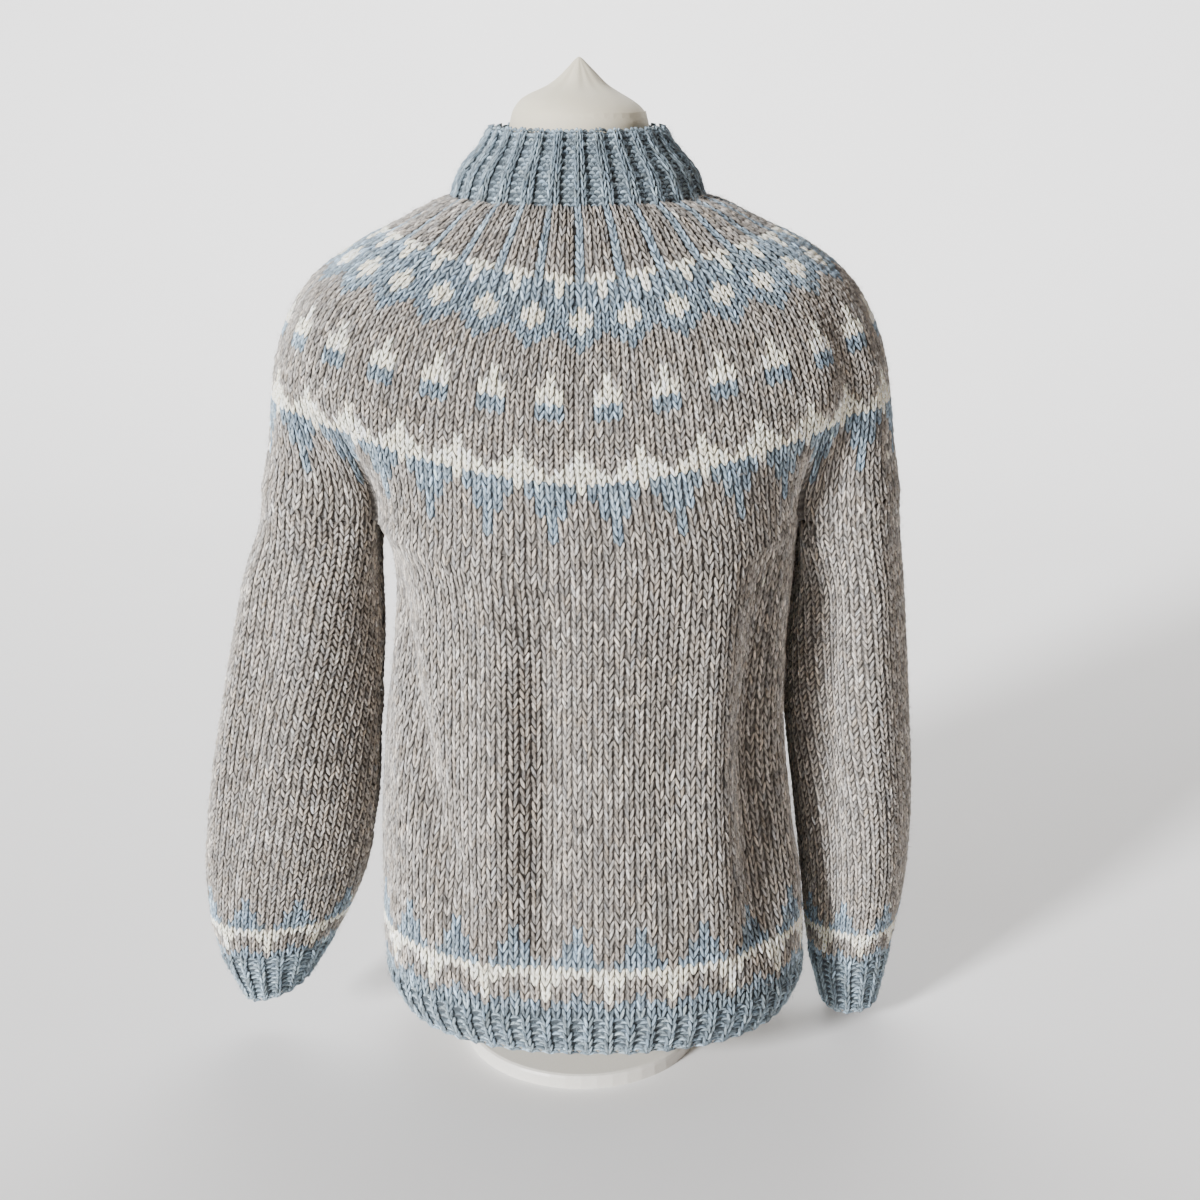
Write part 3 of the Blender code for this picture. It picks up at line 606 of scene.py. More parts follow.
def border_row(rows, row):
    """The border's text at a row of a tube of so many rows, or plain grey-brown."""
    from_foot = rows - row
    return BORDER_CHART[-from_foot] if from_foot <= len(BORDER_CHART) else "g"


print("charted rows:", len(YOKE_CHART) + len(BORDER_CHART))

# %% [markdown]
# Heathered wool is spun from fleece of several natural shades, so no two stitches match.
# Each leg of each stitch gets its own lightness, over slow patches a few stitches wide,
# and the material adds the streaks of single fibres. Colours are written as sRGB hex, as
# a picker shows them, and one function turns them into the linear values that Blender
# works in.

# %% Colours
def linear(hex_colour):
    """Linear RGB from an sRGB hex string."""
    srgb = np.array([int(hex_colour[i:i + 2], 16) for i in (1, 3, 5)]) / 255.0
    return np.where(srgb <= 0.04045, srgb / 12.92, ((srgb + 0.055) / 1.055) ** 2.4)


YARN = {
    "g": linear("#b5aea5"),
    "b": linear("#9fb3c2"),
    "c": 1.15 * linear("#fffbe9"),
    "r": linear("#93a5b0"),
}
# spread of lightness from leg to leg, and the share of it that even cream wool has
LEG_SPREAD, CREAM_CALM = 0.30, 0.35
# slow patches: their size in stitches, their strength, and knots in the random field
PATCH_SIZE, PATCH_STRENGTH, PATCH_KNOTS = 5.0, 0.05, 64
# spread of warmth from leg to leg
WARMTH_SPREAD = 0.025


def slow_patches(columns, rows):
    """A smooth random field over a tube, around 1."""
    field = dice.normal(0.0, 1.0, (PATCH_KNOTS, PATCH_KNOTS))
    u = np.mod(columns / PATCH_SIZE, float(PATCH_KNOTS))
    v = np.mod(rows / PATCH_SIZE + 3.0, PATCH_KNOTS - 1.0)
    i, k = np.floor(u).astype(int), np.floor(v).astype(int)
    a, b = smooth_steps(u - i), smooth_steps(v - k)
    j = np.mod(i + 1, PATCH_KNOTS)
    i = np.mod(i, PATCH_KNOTS)
    top = field[k, i] * (1 - a) + field[k, j] * a
    low = field[k + 1, i] * (1 - a) + field[k + 1, j] * a
    return 1.0 + PATCH_STRENGTH * (top * (1 - b) + low * b)


def heathered(letters, columns, rows):
    """A colour for each leg, from its yarn's letter and its place."""
    base = np.array([YARN[letter] for letter in letters])
    calm = np.where(letters == "c", CREAM_CALM, 1.0)
    leg = np.exp(dice.normal(0.0, LEG_SPREAD, len(base)) * calm)
    light = leg * slow_patches(columns, rows)
    warmth = dice.normal(0.0, WARMTH_SPREAD, len(base))
    tint = np.stack([1.0 + warmth, np.ones(len(base)), 1.0 - 1.4 * warmth], axis=1)
    return np.clip(base * light[:, None] * tint, 0.0, 1.2)


print("grey-brown wool, linear:", np.round(YARN["g"], 3))

# %% [markdown]
# One stitch of stocking stitch shows as a V: two plump legs that come out of the stitch
# below and part as they rise. A leg is a low leaf with a crest: six stations from tip to
# tip, each with a left edge, a crest and a right edge. Sixteen triangles are enough for
# something 4 mm wide. The reverse, a purl stitch, shows as a short bar lying across.

# %% The two shapes of leg
# across in stitch widths, up in rows, half width, crest height and edge height in mm
KNIT_LEG = (
    (0.050, -0.38, 0.00, 0.4, 0.4),
    (0.105, -0.13, 0.115, 1.20, 0.1),
    (0.180, 0.20, 0.170, 1.50, 0.1),
    (0.262, 0.54, 0.170, 1.35, 0.1),
    (0.332, 0.88, 0.120, 0.85, 0.0),
    (0.352, 1.12, 0.00, -0.1, -0.1),
)
PURL_BAR = (
    (-0.56, 0.36, 0.00, 0.0, 0.0),
    (-0.36, 0.50, 0.19, 1.05, -0.4),
    (-0.13, 0.62, 0.23, 1.45, -0.4),
    (0.13, 0.62, 0.23, 1.45, -0.4),
    (0.36, 0.50, 0.19, 1.05, -0.4),
    (0.56, 0.36, 0.00, 0.0, 0.0),
)
LEAF_FACES = [(0, 2, 1), (0, 3, 2)]
for k in range(3):
    a = 1 + 3 * k
    for left in (a, a + 1):
        LEAF_FACES += [(left, left + 1, left + 4), (left, left + 4, left + 3)]
LEAF_FACES += [(10, 11, 13), (11, 12, 13)]


def leaf(stations, upright=True):
    """Fourteen (across, up, lift) points from six stations, with (side, along) for fibres."""
    points, fibres = [], []
    for k, (across, up, half, crest, edge) in enumerate(stations):
        share = k / (len(stations) - 1.0)
        if half == 0.0:
            points.append((across, up, crest / 1000.0))
            fibres.append((0.0, share))
            continue
        for way, high in ((-1.0, edge), (0.0, crest), (1.0, edge)):
            aside = (way * half, 0.0) if upright else (0.0, way * half)
            points.append((across + aside[0], up + aside[1], high / 1000.0))
            fibres.append((way, share))
    return np.array(points), np.array(fibres)


KNIT_POINTS, KNIT_FIBRES = leaf(KNIT_LEG)
BAR_POINTS, BAR_FIBRES = leaf(PURL_BAR, upright=False)
print("points in a leg:", len(KNIT_POINTS), "triangles:", len(LEAF_FACES))

# %% [markdown]
# All the legs of a piece become one mesh, because thousands of separate objects would
# be slow. Each vertex carries its yarn colour, and a UV of side and length that gives the
# fibres their direction. A small random nudge in place, lean and plumpness keeps the
# columns from looking machine-made. The sides of each leg get painted shade, for the shade
# that the fuzz between two legs gives and a render of smooth leaves would miss, and its
# crest a painted highlight.

# %% Laying stitches
# painted shade on a leg's sides, painted highlight on its crest, and how far cream,
# which passes light on, takes part in both
SIDE_SHADE, CREST_PAINTED_LIGHT, CREAM_SHADE = 0.30, 1.18, 0.45
# random spread in place across and up, lean and plumpness, and height in metres
ACROSS_SPREAD, UP_SPREAD, LEAN_SPREAD, PLUMP_SPREAD = 0.022, 0.045, 0.05, 0.10
LIFT_SPREAD = 0.00020


def placed(name, data):
    """A new object in the scene."""
    holder = bpy.data.objects.new(name, data)
    bpy.context.scene.collection.objects.link(holder)
    return holder


def triangles_object(name, points, faces, colours, fibres):
    """A smooth mesh from arrays, with a colour and a fibre UV at each point."""
    mesh = bpy.data.meshes.new(name)
    mesh.vertices.add(len(points))
    mesh.vertices.foreach_set("co", points.astype(np.float32).ravel())
    mesh.loops.add(faces.size)
    mesh.loops.foreach_set("vertex_index", faces.astype(np.int32).ravel())
    mesh.polygons.add(len(faces))
    starts = np.arange(0, faces.size, faces.shape[1], dtype=np.int32)
    mesh.polygons.foreach_set("loop_start", starts)
    mesh.polygons.foreach_set("use_smooth", np.ones(len(faces), dtype=bool))
    mesh.update(calc_edges=True)
    paint = mesh.color_attributes.new("yarn", "FLOAT_COLOR", "POINT")
    opaque = np.column_stack([colours, np.ones(len(colours))])
    paint.data.foreach_set("color", opaque.astype(np.float32).ravel())
    uv = mesh.uv_layers.new(name="fibre")
    uv.data.foreach_set("uv", fibres[faces.ravel()].astype(np.float32).ravel())
    mesh.validate()
    return placed(name, mesh)


def lay_leaves(tube, template, fibres, spots, mirror):
    """Points, colours and fibre UVs of one leaf on each spot of a tube."""
    columns, rows, widths, letters, lift = spots
    count = len(columns)
    wobble = dice.normal(0.0, 1.0, (5, count, 1))
    plump = 1.0 + PLUMP_SPREAD * wobble[2]
    across = template[None, :, 0] * mirror + ACROSS_SPREAD * wobble[0]
    across = across + LEAN_SPREAD * wobble[4] * template[None, :, 1]
    up = template[None, :, 1] + UP_SPREAD * wobble[1]
    high = template[None, :, 2] * plump + LIFT_SPREAD * wobble[3] + lift[:, None] - STITCH_SINK
    column = columns[:, None] + across * widths[:, None]
    places = on_tube(tube, column, rows[:, None] + 1.0 - up, high)
    # painted shade on each leaf's sides and tips, and a painted highlight on its crest
    painted_side_shade = SIDE_SHADE + (1.0 - SIDE_SHADE) * (1.0 - np.abs(fibres[:, 0]))
    painted_side_shade[[0, -1]] = SIDE_SHADE
    part = np.where(letters == "c", CREAM_SHADE, 1.0)[:, None]
    shade = CREST_PAINTED_LIGHT * painted_side_shade[None, :] ** part
    colours = (heathered(letters, columns, rows)[:, None, :] * shade[:, :, None]).reshape(-1, 3)
    streaks = fibres[None, :, :] + dice.uniform(0.0, 90.0, (count, 1, 2))
    return places.reshape(-1, 3), colours, streaks.reshape(-1, 2)


def leaf_faces(count, flip):
    """The triangles of many leaves."""
    one = np.array(LEAF_FACES)
    if flip:
        one = one[:, ::-1]
    return (one[None] + len(KNIT_POINTS) * np.arange(count)[:, None, None]).reshape(-1, 3)


def knit_object(name, tube, knit=None, purl=None):
    """One object with the V stitches and purl bars of a piece."""
    parts = []
    if knit is not None:
        parts += [(KNIT_POINTS, KNIT_FIBRES, knit, 1.0), (KNIT_POINTS, KNIT_FIBRES, knit, -1.0)]
    if purl is not None:
        columns, rows, widths, letters, lift = purl
        lower = (columns + 0.5 * widths, rows + 0.5, widths, letters, lift - 0.0004)
        parts += [(BAR_POINTS, BAR_FIBRES, purl, 1.0), (BAR_POINTS, BAR_FIBRES, lower, 1.0)]
    points, colours, fibres, faces = [], [], [], []
    for template, streaks, spots, mirror in parts:
        start = sum(len(p) for p in points)
        laid, painted, combed = lay_leaves(tube, template, streaks, spots, mirror)
        points.append(laid)
        colours.append(painted)
        fibres.append(combed)
        bar = template is BAR_POINTS
        faces.append(leaf_faces(len(spots[0]), mirror < 0 or bar) + start)
    joined = [np.concatenate(lists) for lists in (points, faces, colours, fibres)]
    piece = triangles_object(name, *joined)
    print(name, "triangles:", len(piece.data.polygons))
    return piece


# %% [markdown]
# Now the spots: for every row, which columns hold a stitch, how wide it is and which
# yarn it takes. The yoke reads its chart. The sleeves grow from 40 to 48 stitches on the
# way down: new columns slip in along the underarm, so the others run on unbroken.

# %% Where every stitch goes
# stitches round a sleeve's foot, and rows above it where the increases are done
SLEEVE_FOOT_STITCHES, STEADY_ROWS = 48, 12.0
# how far the border's repeats are shifted round the body, in stitches
BODY_SHIFT = 2


def gather(lists):
    """Five flat arrays from rows of (columns, row, width, letters, lift)."""
    columns = np.concatenate([item[0] for item in lists])
    rows = np.concatenate([np.full(len(item[0]), float(item[1])) for item in lists])
    widths = np.concatenate([np.full(len(item[0]), float(item[2])) for item in lists])
    letters = np.concatenate([item[3] for item in lists])
    lift = np.concatenate([np.broadcast_to(item[4], len(item[0])).astype(float) for item in lists])
    return columns, rows, widths, letters, lift


def yoke_spots(first, last):
    lists = []
    for row in range(first, last):
        text = YOKE_CHART[row]
        count = REPEATS * len(text)
        number = np.arange(count)
        width = YOKE_STITCHES / count
        lists.append((number * width, row, width, chart_letter(text, number), 0.0))
    return gather(lists)


def body_spots(first, last):
    lists = []
    number = np.arange(BODY_STITCHES)
    for row in range(first, last):
        letters = chart_letter(border_row(BODY_ROWS, row), number - BODY_SHIFT)
        lists.append((number.astype(float), row, 1.0, letters, 0.0))
    return gather(lists)


def sleeve_spots(side):
    lists = []
    top, foot = SLEEVE_STITCHES / 2.0, SLEEVE_FOOT_STITCHES / 2.0
    number = np.arange(-int(foot), int(foot))
    for row in range(SLEEVE_ROWS):
        half = top + (foot - top) * smooth_steps(row / (SLEEVE_ROWS - STEADY_ROWS))
        width = top / half
        place = top + (number + 0.5) * width
        keep = np.abs(place - top) < top - 0.4 * width
        letters = chart_letter(border_row(SLEEVE_ROWS, row), number)
        lists.append((side * place[keep], row, width, letters[keep], 0.0))
    return gather(lists)


print("yoke stitches:", len(yoke_spots(0, YOKE_ROWS)[0]))

# %% [markdown]
# Behind the stitches each piece has its own cloth: a thin closed tube that follows the
# same surface, a little sunk. It stops light between the legs and gives the inside its purl
# side. Its faces repeat the chart.

# %% Cloth behind the stitches
# how far its outer face lies under the tube, for plain knitting and for ribs
CLOTH_SINK, RIB_SINK = 0.0021, 0.0024
# painted shade on its outer face between the legs, and how dark its inner face is painted
OUTER_SHADE, INNER_SHADE = 0.30, 0.85


def backing_cloth(name, tube, columns, rows, letter_at, outer_sink):
    """A closed tube wall with chart colours, from the outer face round to the inner."""
    levels = np.linspace(0.0, tube["rows"], rows + 1)
    inner_levels = levels[::-2] if rows % 2 == 0 else levels[::-1]
    around = (np.arange(columns) - 0.5) * tube["around"] / columns
    all_levels = list(levels) + list(inner_levels)
    sinks = [outer_sink] * len(levels) + [WALL] * len(inner_levels)
    rings = [
        on_tube(tube, around, np.full(columns, level), np.full(columns, -sink))
        for level, sink in zip(all_levels, sinks)
    ]
    faces, colours, uvs = [], [], []
    total = len(rings)
    for k in range(total):
        below = (k + 1) % total
        upper, lower = all_levels[k], all_levels[below]
        row = min(int(min(upper, lower) + 0.001), tube["rows"] - 1)
        # the outer face gets painted shade between the legs
        shade = OUTER_SHADE if k < rows else INNER_SHADE
        for i in range(columns):
            j = (i + 1) % columns
            a, b = k * columns, below * columns
            faces.append((b + i, b + j, a + j, a + i))
            colours.append(YARN[letter_at(i, row)] * shade)
            uvs += [(i, -lower), (i + 1, -lower), (i + 1, -upper), (i, -upper)]
    mesh = bpy.data.meshes.new(name)
    mesh.from_pydata(np.concatenate(rings).tolist(), [], faces)
    paint = mesh.color_attributes.new("yarn", "FLOAT_COLOR", "CORNER")
    corners = np.repeat(np.column_stack([colours, np.ones(len(colours))]), 4, axis=0)
    paint.data.foreach_set("color", corners.astype(np.float32).ravel())
    uv = mesh.uv_layers.new(name="fibre")
    uv.data.foreach_set("uv", np.array(uvs, dtype=np.float32).ravel())
    mesh.shade_smooth()
    return placed(name, mesh)


def yoke_letter(column, row):
    text = YOKE_CHART[row]
    return text[int(round(column * len(text) / REPEAT_STITCHES)) % len(text)]


def body_letter(column, row):
    text = border_row(BODY_ROWS, row)
    return text[(column - BODY_SHIFT) % len(text)]


def sleeve_letter(column, row):
    text = border_row(SLEEVE_ROWS, row)
    return text[(column - SLEEVE_FOOT_STITCHES // 2) % len(text)]


def rib_letter(column, row):
    return "r"


# faces round, faces down the outside, letters and sink
sleeve_cloth = (SLEEVE_FOOT_STITCHES, SLEEVE_ROWS, sleeve_letter, CLOTH_SINK)
cuff_cloth = (6 * CUFF_RIBS, 10, rib_letter, RIB_SINK)
CLOTHS = {
    "yoke": (YOKE_STITCHES, YOKE_ROWS, yoke_letter, CLOTH_SINK),
    "body": (BODY_STITCHES, BODY_ROWS, body_letter, CLOTH_SINK),
    "neck_rib": (2 * NECK_STITCHES, 10, rib_letter, RIB_SINK),
    "hem_rib": (4 * HEM_RIBS, 6, rib_letter, RIB_SINK),
    "sleeve_left": sleeve_cloth,
    "cuff_left": cuff_cloth,
    "sleeve_right": sleeve_cloth,
    "cuff_right": cuff_cloth,
}
made = {name: backing_cloth(name + "_cloth", tubes[name], *cloth) for name, cloth in CLOTHS.items()}
print("faces in the cloths:", {name: len(cloth.data.polygons) for name, cloth in made.items()})

# %% [markdown]
# Ribs alternate knit and purl columns. The knit ones stand up as ropes and the purl ones
# fall back between them. The neck rib has two of each and the hem and cuffs one of each.

# %% Rib stitches
def rib_spots(tube, ribs, knit_places, purl_places, rows, purl_drop):
    """Knit and purl spots of a rib. Places and widths are shares of one rib."""
    span = tube["around"] / ribs
    first = np.arange(ribs)[:, None] * span
    found = []
    for (places, width), lift in ((knit_places, 0.0), (purl_places, -purl_drop)):
        columns = (first + np.array(places)[None, :] * span).ravel()
        blue = np.full(len(columns), "r")
        found.append(gather([(columns, row, width * span, blue, lift) for row in rows]))
    return found


# where the knit and the purl columns start in a rib, and how wide they are
DOUBLE_RIB = ((-0.010, 0.260), 0.28), ((0.515, 0.735), 0.22)
SINGLE_RIB = ((0.0,), 0.54), ((0.5,), 0.46)
# how far the purl columns fall back
DOUBLE_DROP, SINGLE_DROP = 0.0007, 0.0008
neck_spots = rib_spots(tubes["neck_rib"], REPEATS, *DOUBLE_RIB, range(NECK_ROWS), DOUBLE_DROP)
hem_rows = range(1, HEM_ROWS)
hem_knit, hem_purl = rib_spots(tubes["hem_rib"], HEM_RIBS, *SINGLE_RIB, hem_rows, SINGLE_DROP)
# the hem's first round is still plain
plain_round = gather([(np.arange(float(BODY_STITCHES)), 0, 1.0, np.full(BODY_STITCHES, "r"), 0.0)])
hem_knit = tuple(np.concatenate(pair) for pair in zip(plain_round, hem_knit))
print("knit stitches in the hem rib:", len(hem_knit[0]))

# %% [markdown]
# Now the stitches are laid, piece by piece. The yoke and the body have so many that each
# becomes an upper and a lower mesh.

# %% Laying every piece
YOKE_SPLIT, BODY_SPLIT = 27, 26
stitches = {
    "yoke": [
        knit_object("yoke_stitches_upper", tubes["yoke"], yoke_spots(0, YOKE_SPLIT)),
        knit_object("yoke_stitches_lower", tubes["yoke"], yoke_spots(YOKE_SPLIT, YOKE_ROWS)),
    ],
    "body": [
        knit_object("body_stitches_upper", tubes["body"], body_spots(0, BODY_SPLIT)),
        knit_object("body_stitches_lower", tubes["body"], body_spots(BODY_SPLIT, BODY_ROWS)),
    ],
    "neck_rib": [knit_object("neck_rib_stitches", tubes["neck_rib"], *neck_spots)],
    "hem_rib": [knit_object("hem_rib_stitches", tubes["hem_rib"], hem_knit, hem_purl)],
}
for side, word in ((-1, "left"), (1, "right")):
    name = "sleeve_" + word
    stitches[name] = [knit_object(name + "_stitches", tubes[name], sleeve_spots(side))]
    name = "cuff_" + word
    cuff_spots = rib_spots(tubes[name], CUFF_RIBS, *SINGLE_RIB, range(CUFF_ROWS), SINGLE_DROP)
    stitches[name] = [knit_object(name + "_stitches", tubes[name], *cuff_spots)]

# %% [markdown]
# The last round is cast off, which leaves a chain lying along the rim. Here it is a row
# of bars, plumper than purl bars, that also round off the edge of the cloth.

# %% Cast-off edges
def cast_off(name, tube, count, row):
    """A chain of bars along a rim."""
    width = tube["around"] / count
    spots = gather([(np.arange(count) * width, row, width, np.full(count, "r"), 0.0)])
    return knit_object(name, tube, purl=spots)


# bars round each rim, and the row that they lie on
EDGES = {
    "neck_rib": (NECK_STITCHES, -0.55),
    "hem_rib": (2 * HEM_RIBS, HEM_ROWS - 0.65),
    "cuff_left": (2 * CUFF_RIBS, CUFF_ROWS - 0.6),
    "cuff_right": (2 * CUFF_RIBS, CUFF_ROWS - 0.6),
}
edges = {
    name: cast_off(name.replace("_rib", "") + "_edge", tubes[name], *place)
    for name, place in EDGES.items()
}

# %% [markdown]
# Loose fibre ends stand off woollen yarn as a soft halo, which shows most along the
# outline. Each one is a sliver of two steps that leaves the cloth and bends over. A real
# fibre is 0.03 mm thick; these are drawn coarser so that a render can show them.

# %% Fibre halo
FIBRE_FACES = np.array([(0, 1, 3), (0, 3, 2), (2, 3, 4)])
# shortest and longest fibre, and half its width at the root
FIBRE_SHORT, FIBRE_LONG, FIBRE_HALF = 0.0020, 0.0055, 0.00008


def halo(name, tube, count, letter):
    """Fibre ends scattered over a tube."""
    columns = dice.uniform(0.0, tube["around"], count)
    rows = dice.uniform(0.1, tube["rows"] - 0.1, count)
    turn = dice.uniform(0.0, 2.0 * math.pi, count)
    length = dice.uniform(FIBRE_SHORT, FIBRE_LONG, count)
    across, down = np.cos(turn), np.sin(turn)
    root = on_tube(tube, columns, rows, np.full(count, 0.0))
    near = on_tube(tube, columns + 0.20 * across, rows + 0.2 * down, 0.0004 + 0.45 * length)
    tip = on_tube(tube, columns + 0.65 * across, rows + 0.7 * down, 0.0002 + 0.80 * length)
    aside = np.cross(tip - root, dice.normal(0.0, 1.0, (count, 3)))
    aside = aside / np.linalg.norm(aside, axis=1)[:, None] * FIBRE_HALF
    bent = 0.8 * aside
    points = np.stack([root - aside, root + aside, near - bent, near + bent, tip], axis=1)
    faces = (FIBRE_FACES[None] + 5 * np.arange(count)[:, None, None]).reshape(-1, 3)
    colour = np.clip(YARN[letter] * dice.uniform(0.9, 1.5, (count, 1)), 0, 1)
    colours = np.repeat(colour, 5, axis=0)
    return triangles_object(name, points.reshape(-1, 3), faces, colours, np.zeros((5 * count, 2)))


def is_rib(name):
    """Whether a node is one of the blue ribs."""
    return "rib" in name or "cuff" in name


FIBRES = {
    "yoke": 8000, "body": 7500, "neck_rib": 2600, "hem_rib": 1600,
    "sleeve_left": 4200, "sleeve_right": 4200, "cuff_left": 600, "cuff_right": 600,
}
fuzz = {
    name: halo(name.replace("_rib", "") + "_fuzz", tubes[name], count, "r" if is_rib(name) else "g")
    for name, count in FIBRES.items()
}
print("fibres:", sum(FIBRES.values()))

# %% [markdown]
# What a fabric tells the eye is mostly roughness and the glow at grazing angles that
# fibre ends give. The wool is fully rough, with a broad pale sheen. Its streaks follow the
# fibre UV, three or four to a leg.

# %% Materials for wool
def add(tree, kind, settings=None, links=None):
    """Adds a node, sets its properties, and fills or links its inputs."""
    made_node = tree.nodes.new(kind)
    for name, value in (settings or {}).items():
        setattr(made_node, name, value)
    for name, value in (links or {}).items():
        socket = made_node.inputs[name]
        if isinstance(value, bpy.types.NodeSocket):
            tree.links.new(value, socket)
        else:
            socket.default_value = value
    return made_node


def start_material(name, roughness, **sockets):
    """A new material with its Principled shader."""
    look = bpy.data.materials.new(name)
    look.use_nodes = True
    shader = look.node_tree.nodes["Principled BSDF"]
    shader.inputs["Roughness"].default_value = roughness
    for socket, value in sockets.items():
        shader.inputs[socket.replace("_", " ")].default_value = value
    return look, look.node_tree, shader


def tint_yarn(tree, shader, factor):
    """The painted yarn colour times a factor, as the base colour."""
    yarn = add(tree, "ShaderNodeAttribute", {"attribute_name": "yarn"})
    shaded = add(
        tree, "ShaderNodeVectorMath", {"operation": "SCALE"},
        {0: yarn.outputs["Color"], "Scale": factor},
    )
    tree.links.new(shaded.outputs["Vector"], shader.inputs["Base Color"])


def add_bump(tree, shader, strength, depth, height):
    """Fine relief, its depth in metres."""
    bump = add(
        tree, "ShaderNodeBump", None, {"Strength": strength, "Distance": depth, "Height": height}
    )
    tree.links.new(bump.outputs["Normal"], shader.inputs["Normal"])


def heathered_wool():
    """Woollen-spun yarn: crimped fibres of mixed shades, no gloss, pale sheen."""
    look, tree, shader = start_material(
        "heathered_wool", 0.92,
        Sheen_Weight=0.22, Sheen_Roughness=0.55, IOR=1.55, Specular_IOR_Level=0.15,
    )
    uv = add(tree, "ShaderNodeUVMap", {"uv_map": "fibre"})
    lay = add(
        tree, "ShaderNodeMapping", None, {"Vector": uv.outputs["UV"], "Scale": (2.2, 3.0, 1.0)}
    )
    fibres = add(
        tree, "ShaderNodeTexNoise", {"noise_dimensions": "2D"},
        {"Vector": lay.outputs["Vector"], "Scale": 1.0,
         "Detail": 3.0, "Roughness": 0.65, "Distortion": 0.6},
    )
    streak = add(
        tree, "ShaderNodeMapRange", None,
        {"Value": fibres.outputs["Fac"],
         "From Min": 0.30, "From Max": 0.70, "To Min": 0.32, "To Max": 1.72},
    )
    tint_yarn(tree, shader, streak.outputs["Result"])
    add_bump(tree, shader, 0.9, 0.0008, fibres.outputs["Fac"])
    return look


def purl_side():
    """The inside of the knitting: bars of yarn lying across, one to a row."""
    look, tree, shader = start_material("wool_purl_side", 0.95, Sheen_Weight=0.15, IOR=1.55)
    uv = add(tree, "ShaderNodeUVMap", {"uv_map": "fibre"})
    # a wave at this scale comes round once to a row
    bars = add(
        tree, "ShaderNodeTexWave", {"wave_type": "BANDS", "bands_direction": "Y"},
        {"Vector": uv.outputs["UV"], "Scale": 0.3183,
         "Distortion": 1.5, "Detail": 1.0, "Detail Scale": 3.0},
    )
    # the bands between the bars are darker: painted shade in the grooves
    depth = add(
        tree, "ShaderNodeMapRange", None,
        {"Value": bars.outputs["Fac"], "To Min": 0.55, "To Max": 1.1},
    )
    tint_yarn(tree, shader, depth.outputs["Result"])
    add_bump(tree, shader, 0.8, 0.0012, bars.outputs["Fac"])
    return look


wool = heathered_wool()
inside = purl_side()
print("nodes in the wool:", len(wool.node_tree.nodes))

# %% [markdown]
# The dress form is covered in cotton jersey, a fine machine knit. Its stitches are about
# 0.7 mm, too fine to show, so they are drawn at 1.4 mm as a faint bump, with slow patches
# where the cover is a little soiled. The pole and base are steel under satin enamel.

# %% Materials for the dress form
# pattern sizes in mm: soiled patches, jersey stitches, the ripple of sprayed enamel
SOIL_SIZE, JERSEY_SIZE, SPRAY_SIZE = 1000.0 / 28.0, 1.4, 2.5


def noise(tree, size, detail, roughness=0.5):
    """Noise on the object's own coordinates, its size in mm."""
    spot = add(tree, "ShaderNodeTexCoord")
    pattern = add(
        tree, "ShaderNodeTexNoise", None,
        {"Vector": spot.outputs["Object"], "Scale": 1000.0 / size,
         "Detail": detail, "Roughness": roughness},
    )
    return pattern.outputs["Fac"]


def blend_tones(tree, shader, share, one, other):
    """Two sRGB tones mixed by a pattern, as the base colour."""
    tone = add(
        tree, "ShaderNodeMix", {"data_type": "RGBA"},
        {0: share, 6: (*linear(one), 1.0), 7: (*linear(other), 1.0)},
    )
    tree.links.new(tone.outputs[2], shader.inputs["Base Color"])


def cotton_jersey():
    """Machine-knitted cotton: matt ivory, which tells a padded form from a hard one."""
    look, tree, shader = start_material("cotton_jersey", 0.78, Sheen_Weight=0.10, IOR=1.50)
    blend_tones(tree, shader, noise(tree, SOIL_SIZE, 4.0, 0.6), "#e9e2cd", "#d8cfb4")
    add_bump(tree, shader, 0.25, 0.0003, noise(tree, JERSEY_SIZE, 1.0))
    return look


def satin_enamel():
    """Sprayed enamel on steel: smooth, with a soft gloss and the faint ripple of spray."""
    look, tree, shader = start_material("satin_enamel", 0.38, IOR=1.50)
    ripple = noise(tree, SPRAY_SIZE, 2.0)
    dull = add(tree, "ShaderNodeMapRange", None, {"Value": ripple, "To Min": 0.32, "To Max": 0.46})
    tree.links.new(dull.outputs["Result"], shader.inputs["Roughness"])
    blend_tones(tree, shader, ripple, "#e6e3db", "#dedad0")
    add_bump(tree, shader, 0.15, 0.0002, ripple)
    return look


jersey = cotton_jersey()
enamel = satin_enamel()
for node_name, look in (("form_torso", jersey), ("form_pole", enamel), ("form_base", enamel)):
    frame["nodes"][node_name].data.materials.clear()
    frame["nodes"][node_name].data.materials.append(look)
    print(node_name, "is covered in", look.name)

# %% [markdown]
# The form's neck ends in a padded dome under the jersey, gathered to a small point. It
# replaces the coarser CAD cap with the same profile, turned in many steps, with shallow
# puckers that fade out from the point.

# %% Neck cap of the form
# distance below the point in mm, and radius toward the left and toward the right in mm
CAP_PROFILE = (
    (0.0, 0.0, 0.0), (1.0, 2.0, 2.2), (4.0, 5.0, 5.0), (8.0, 8.6, 9.0), (12.5, 13.0, 13.4),
    (17.0, 18.0, 17.6), (21.0, 24.5, 22.2), (25.0, 34.5, 29.0), (29.5, 43.0, 37.5),
    (34.5, 47.4, 45.0), (39.5, 50.2, 49.6), (46.0, 51.8, 51.8), (50.0, 52.2, 52.2),
    (54.0, 52.4, 52.4),
)
CAP_TOP_Z, CAP_STEPS, CAP_LEVELS = 0.8105, 96, 60
# how deep the puckers are, how far out they are deepest, and how far they reach from there
PUCKER_DEPTH, PUCKER_RADIUS, PUCKER_REACH = 0.00045, 0.017, 0.012


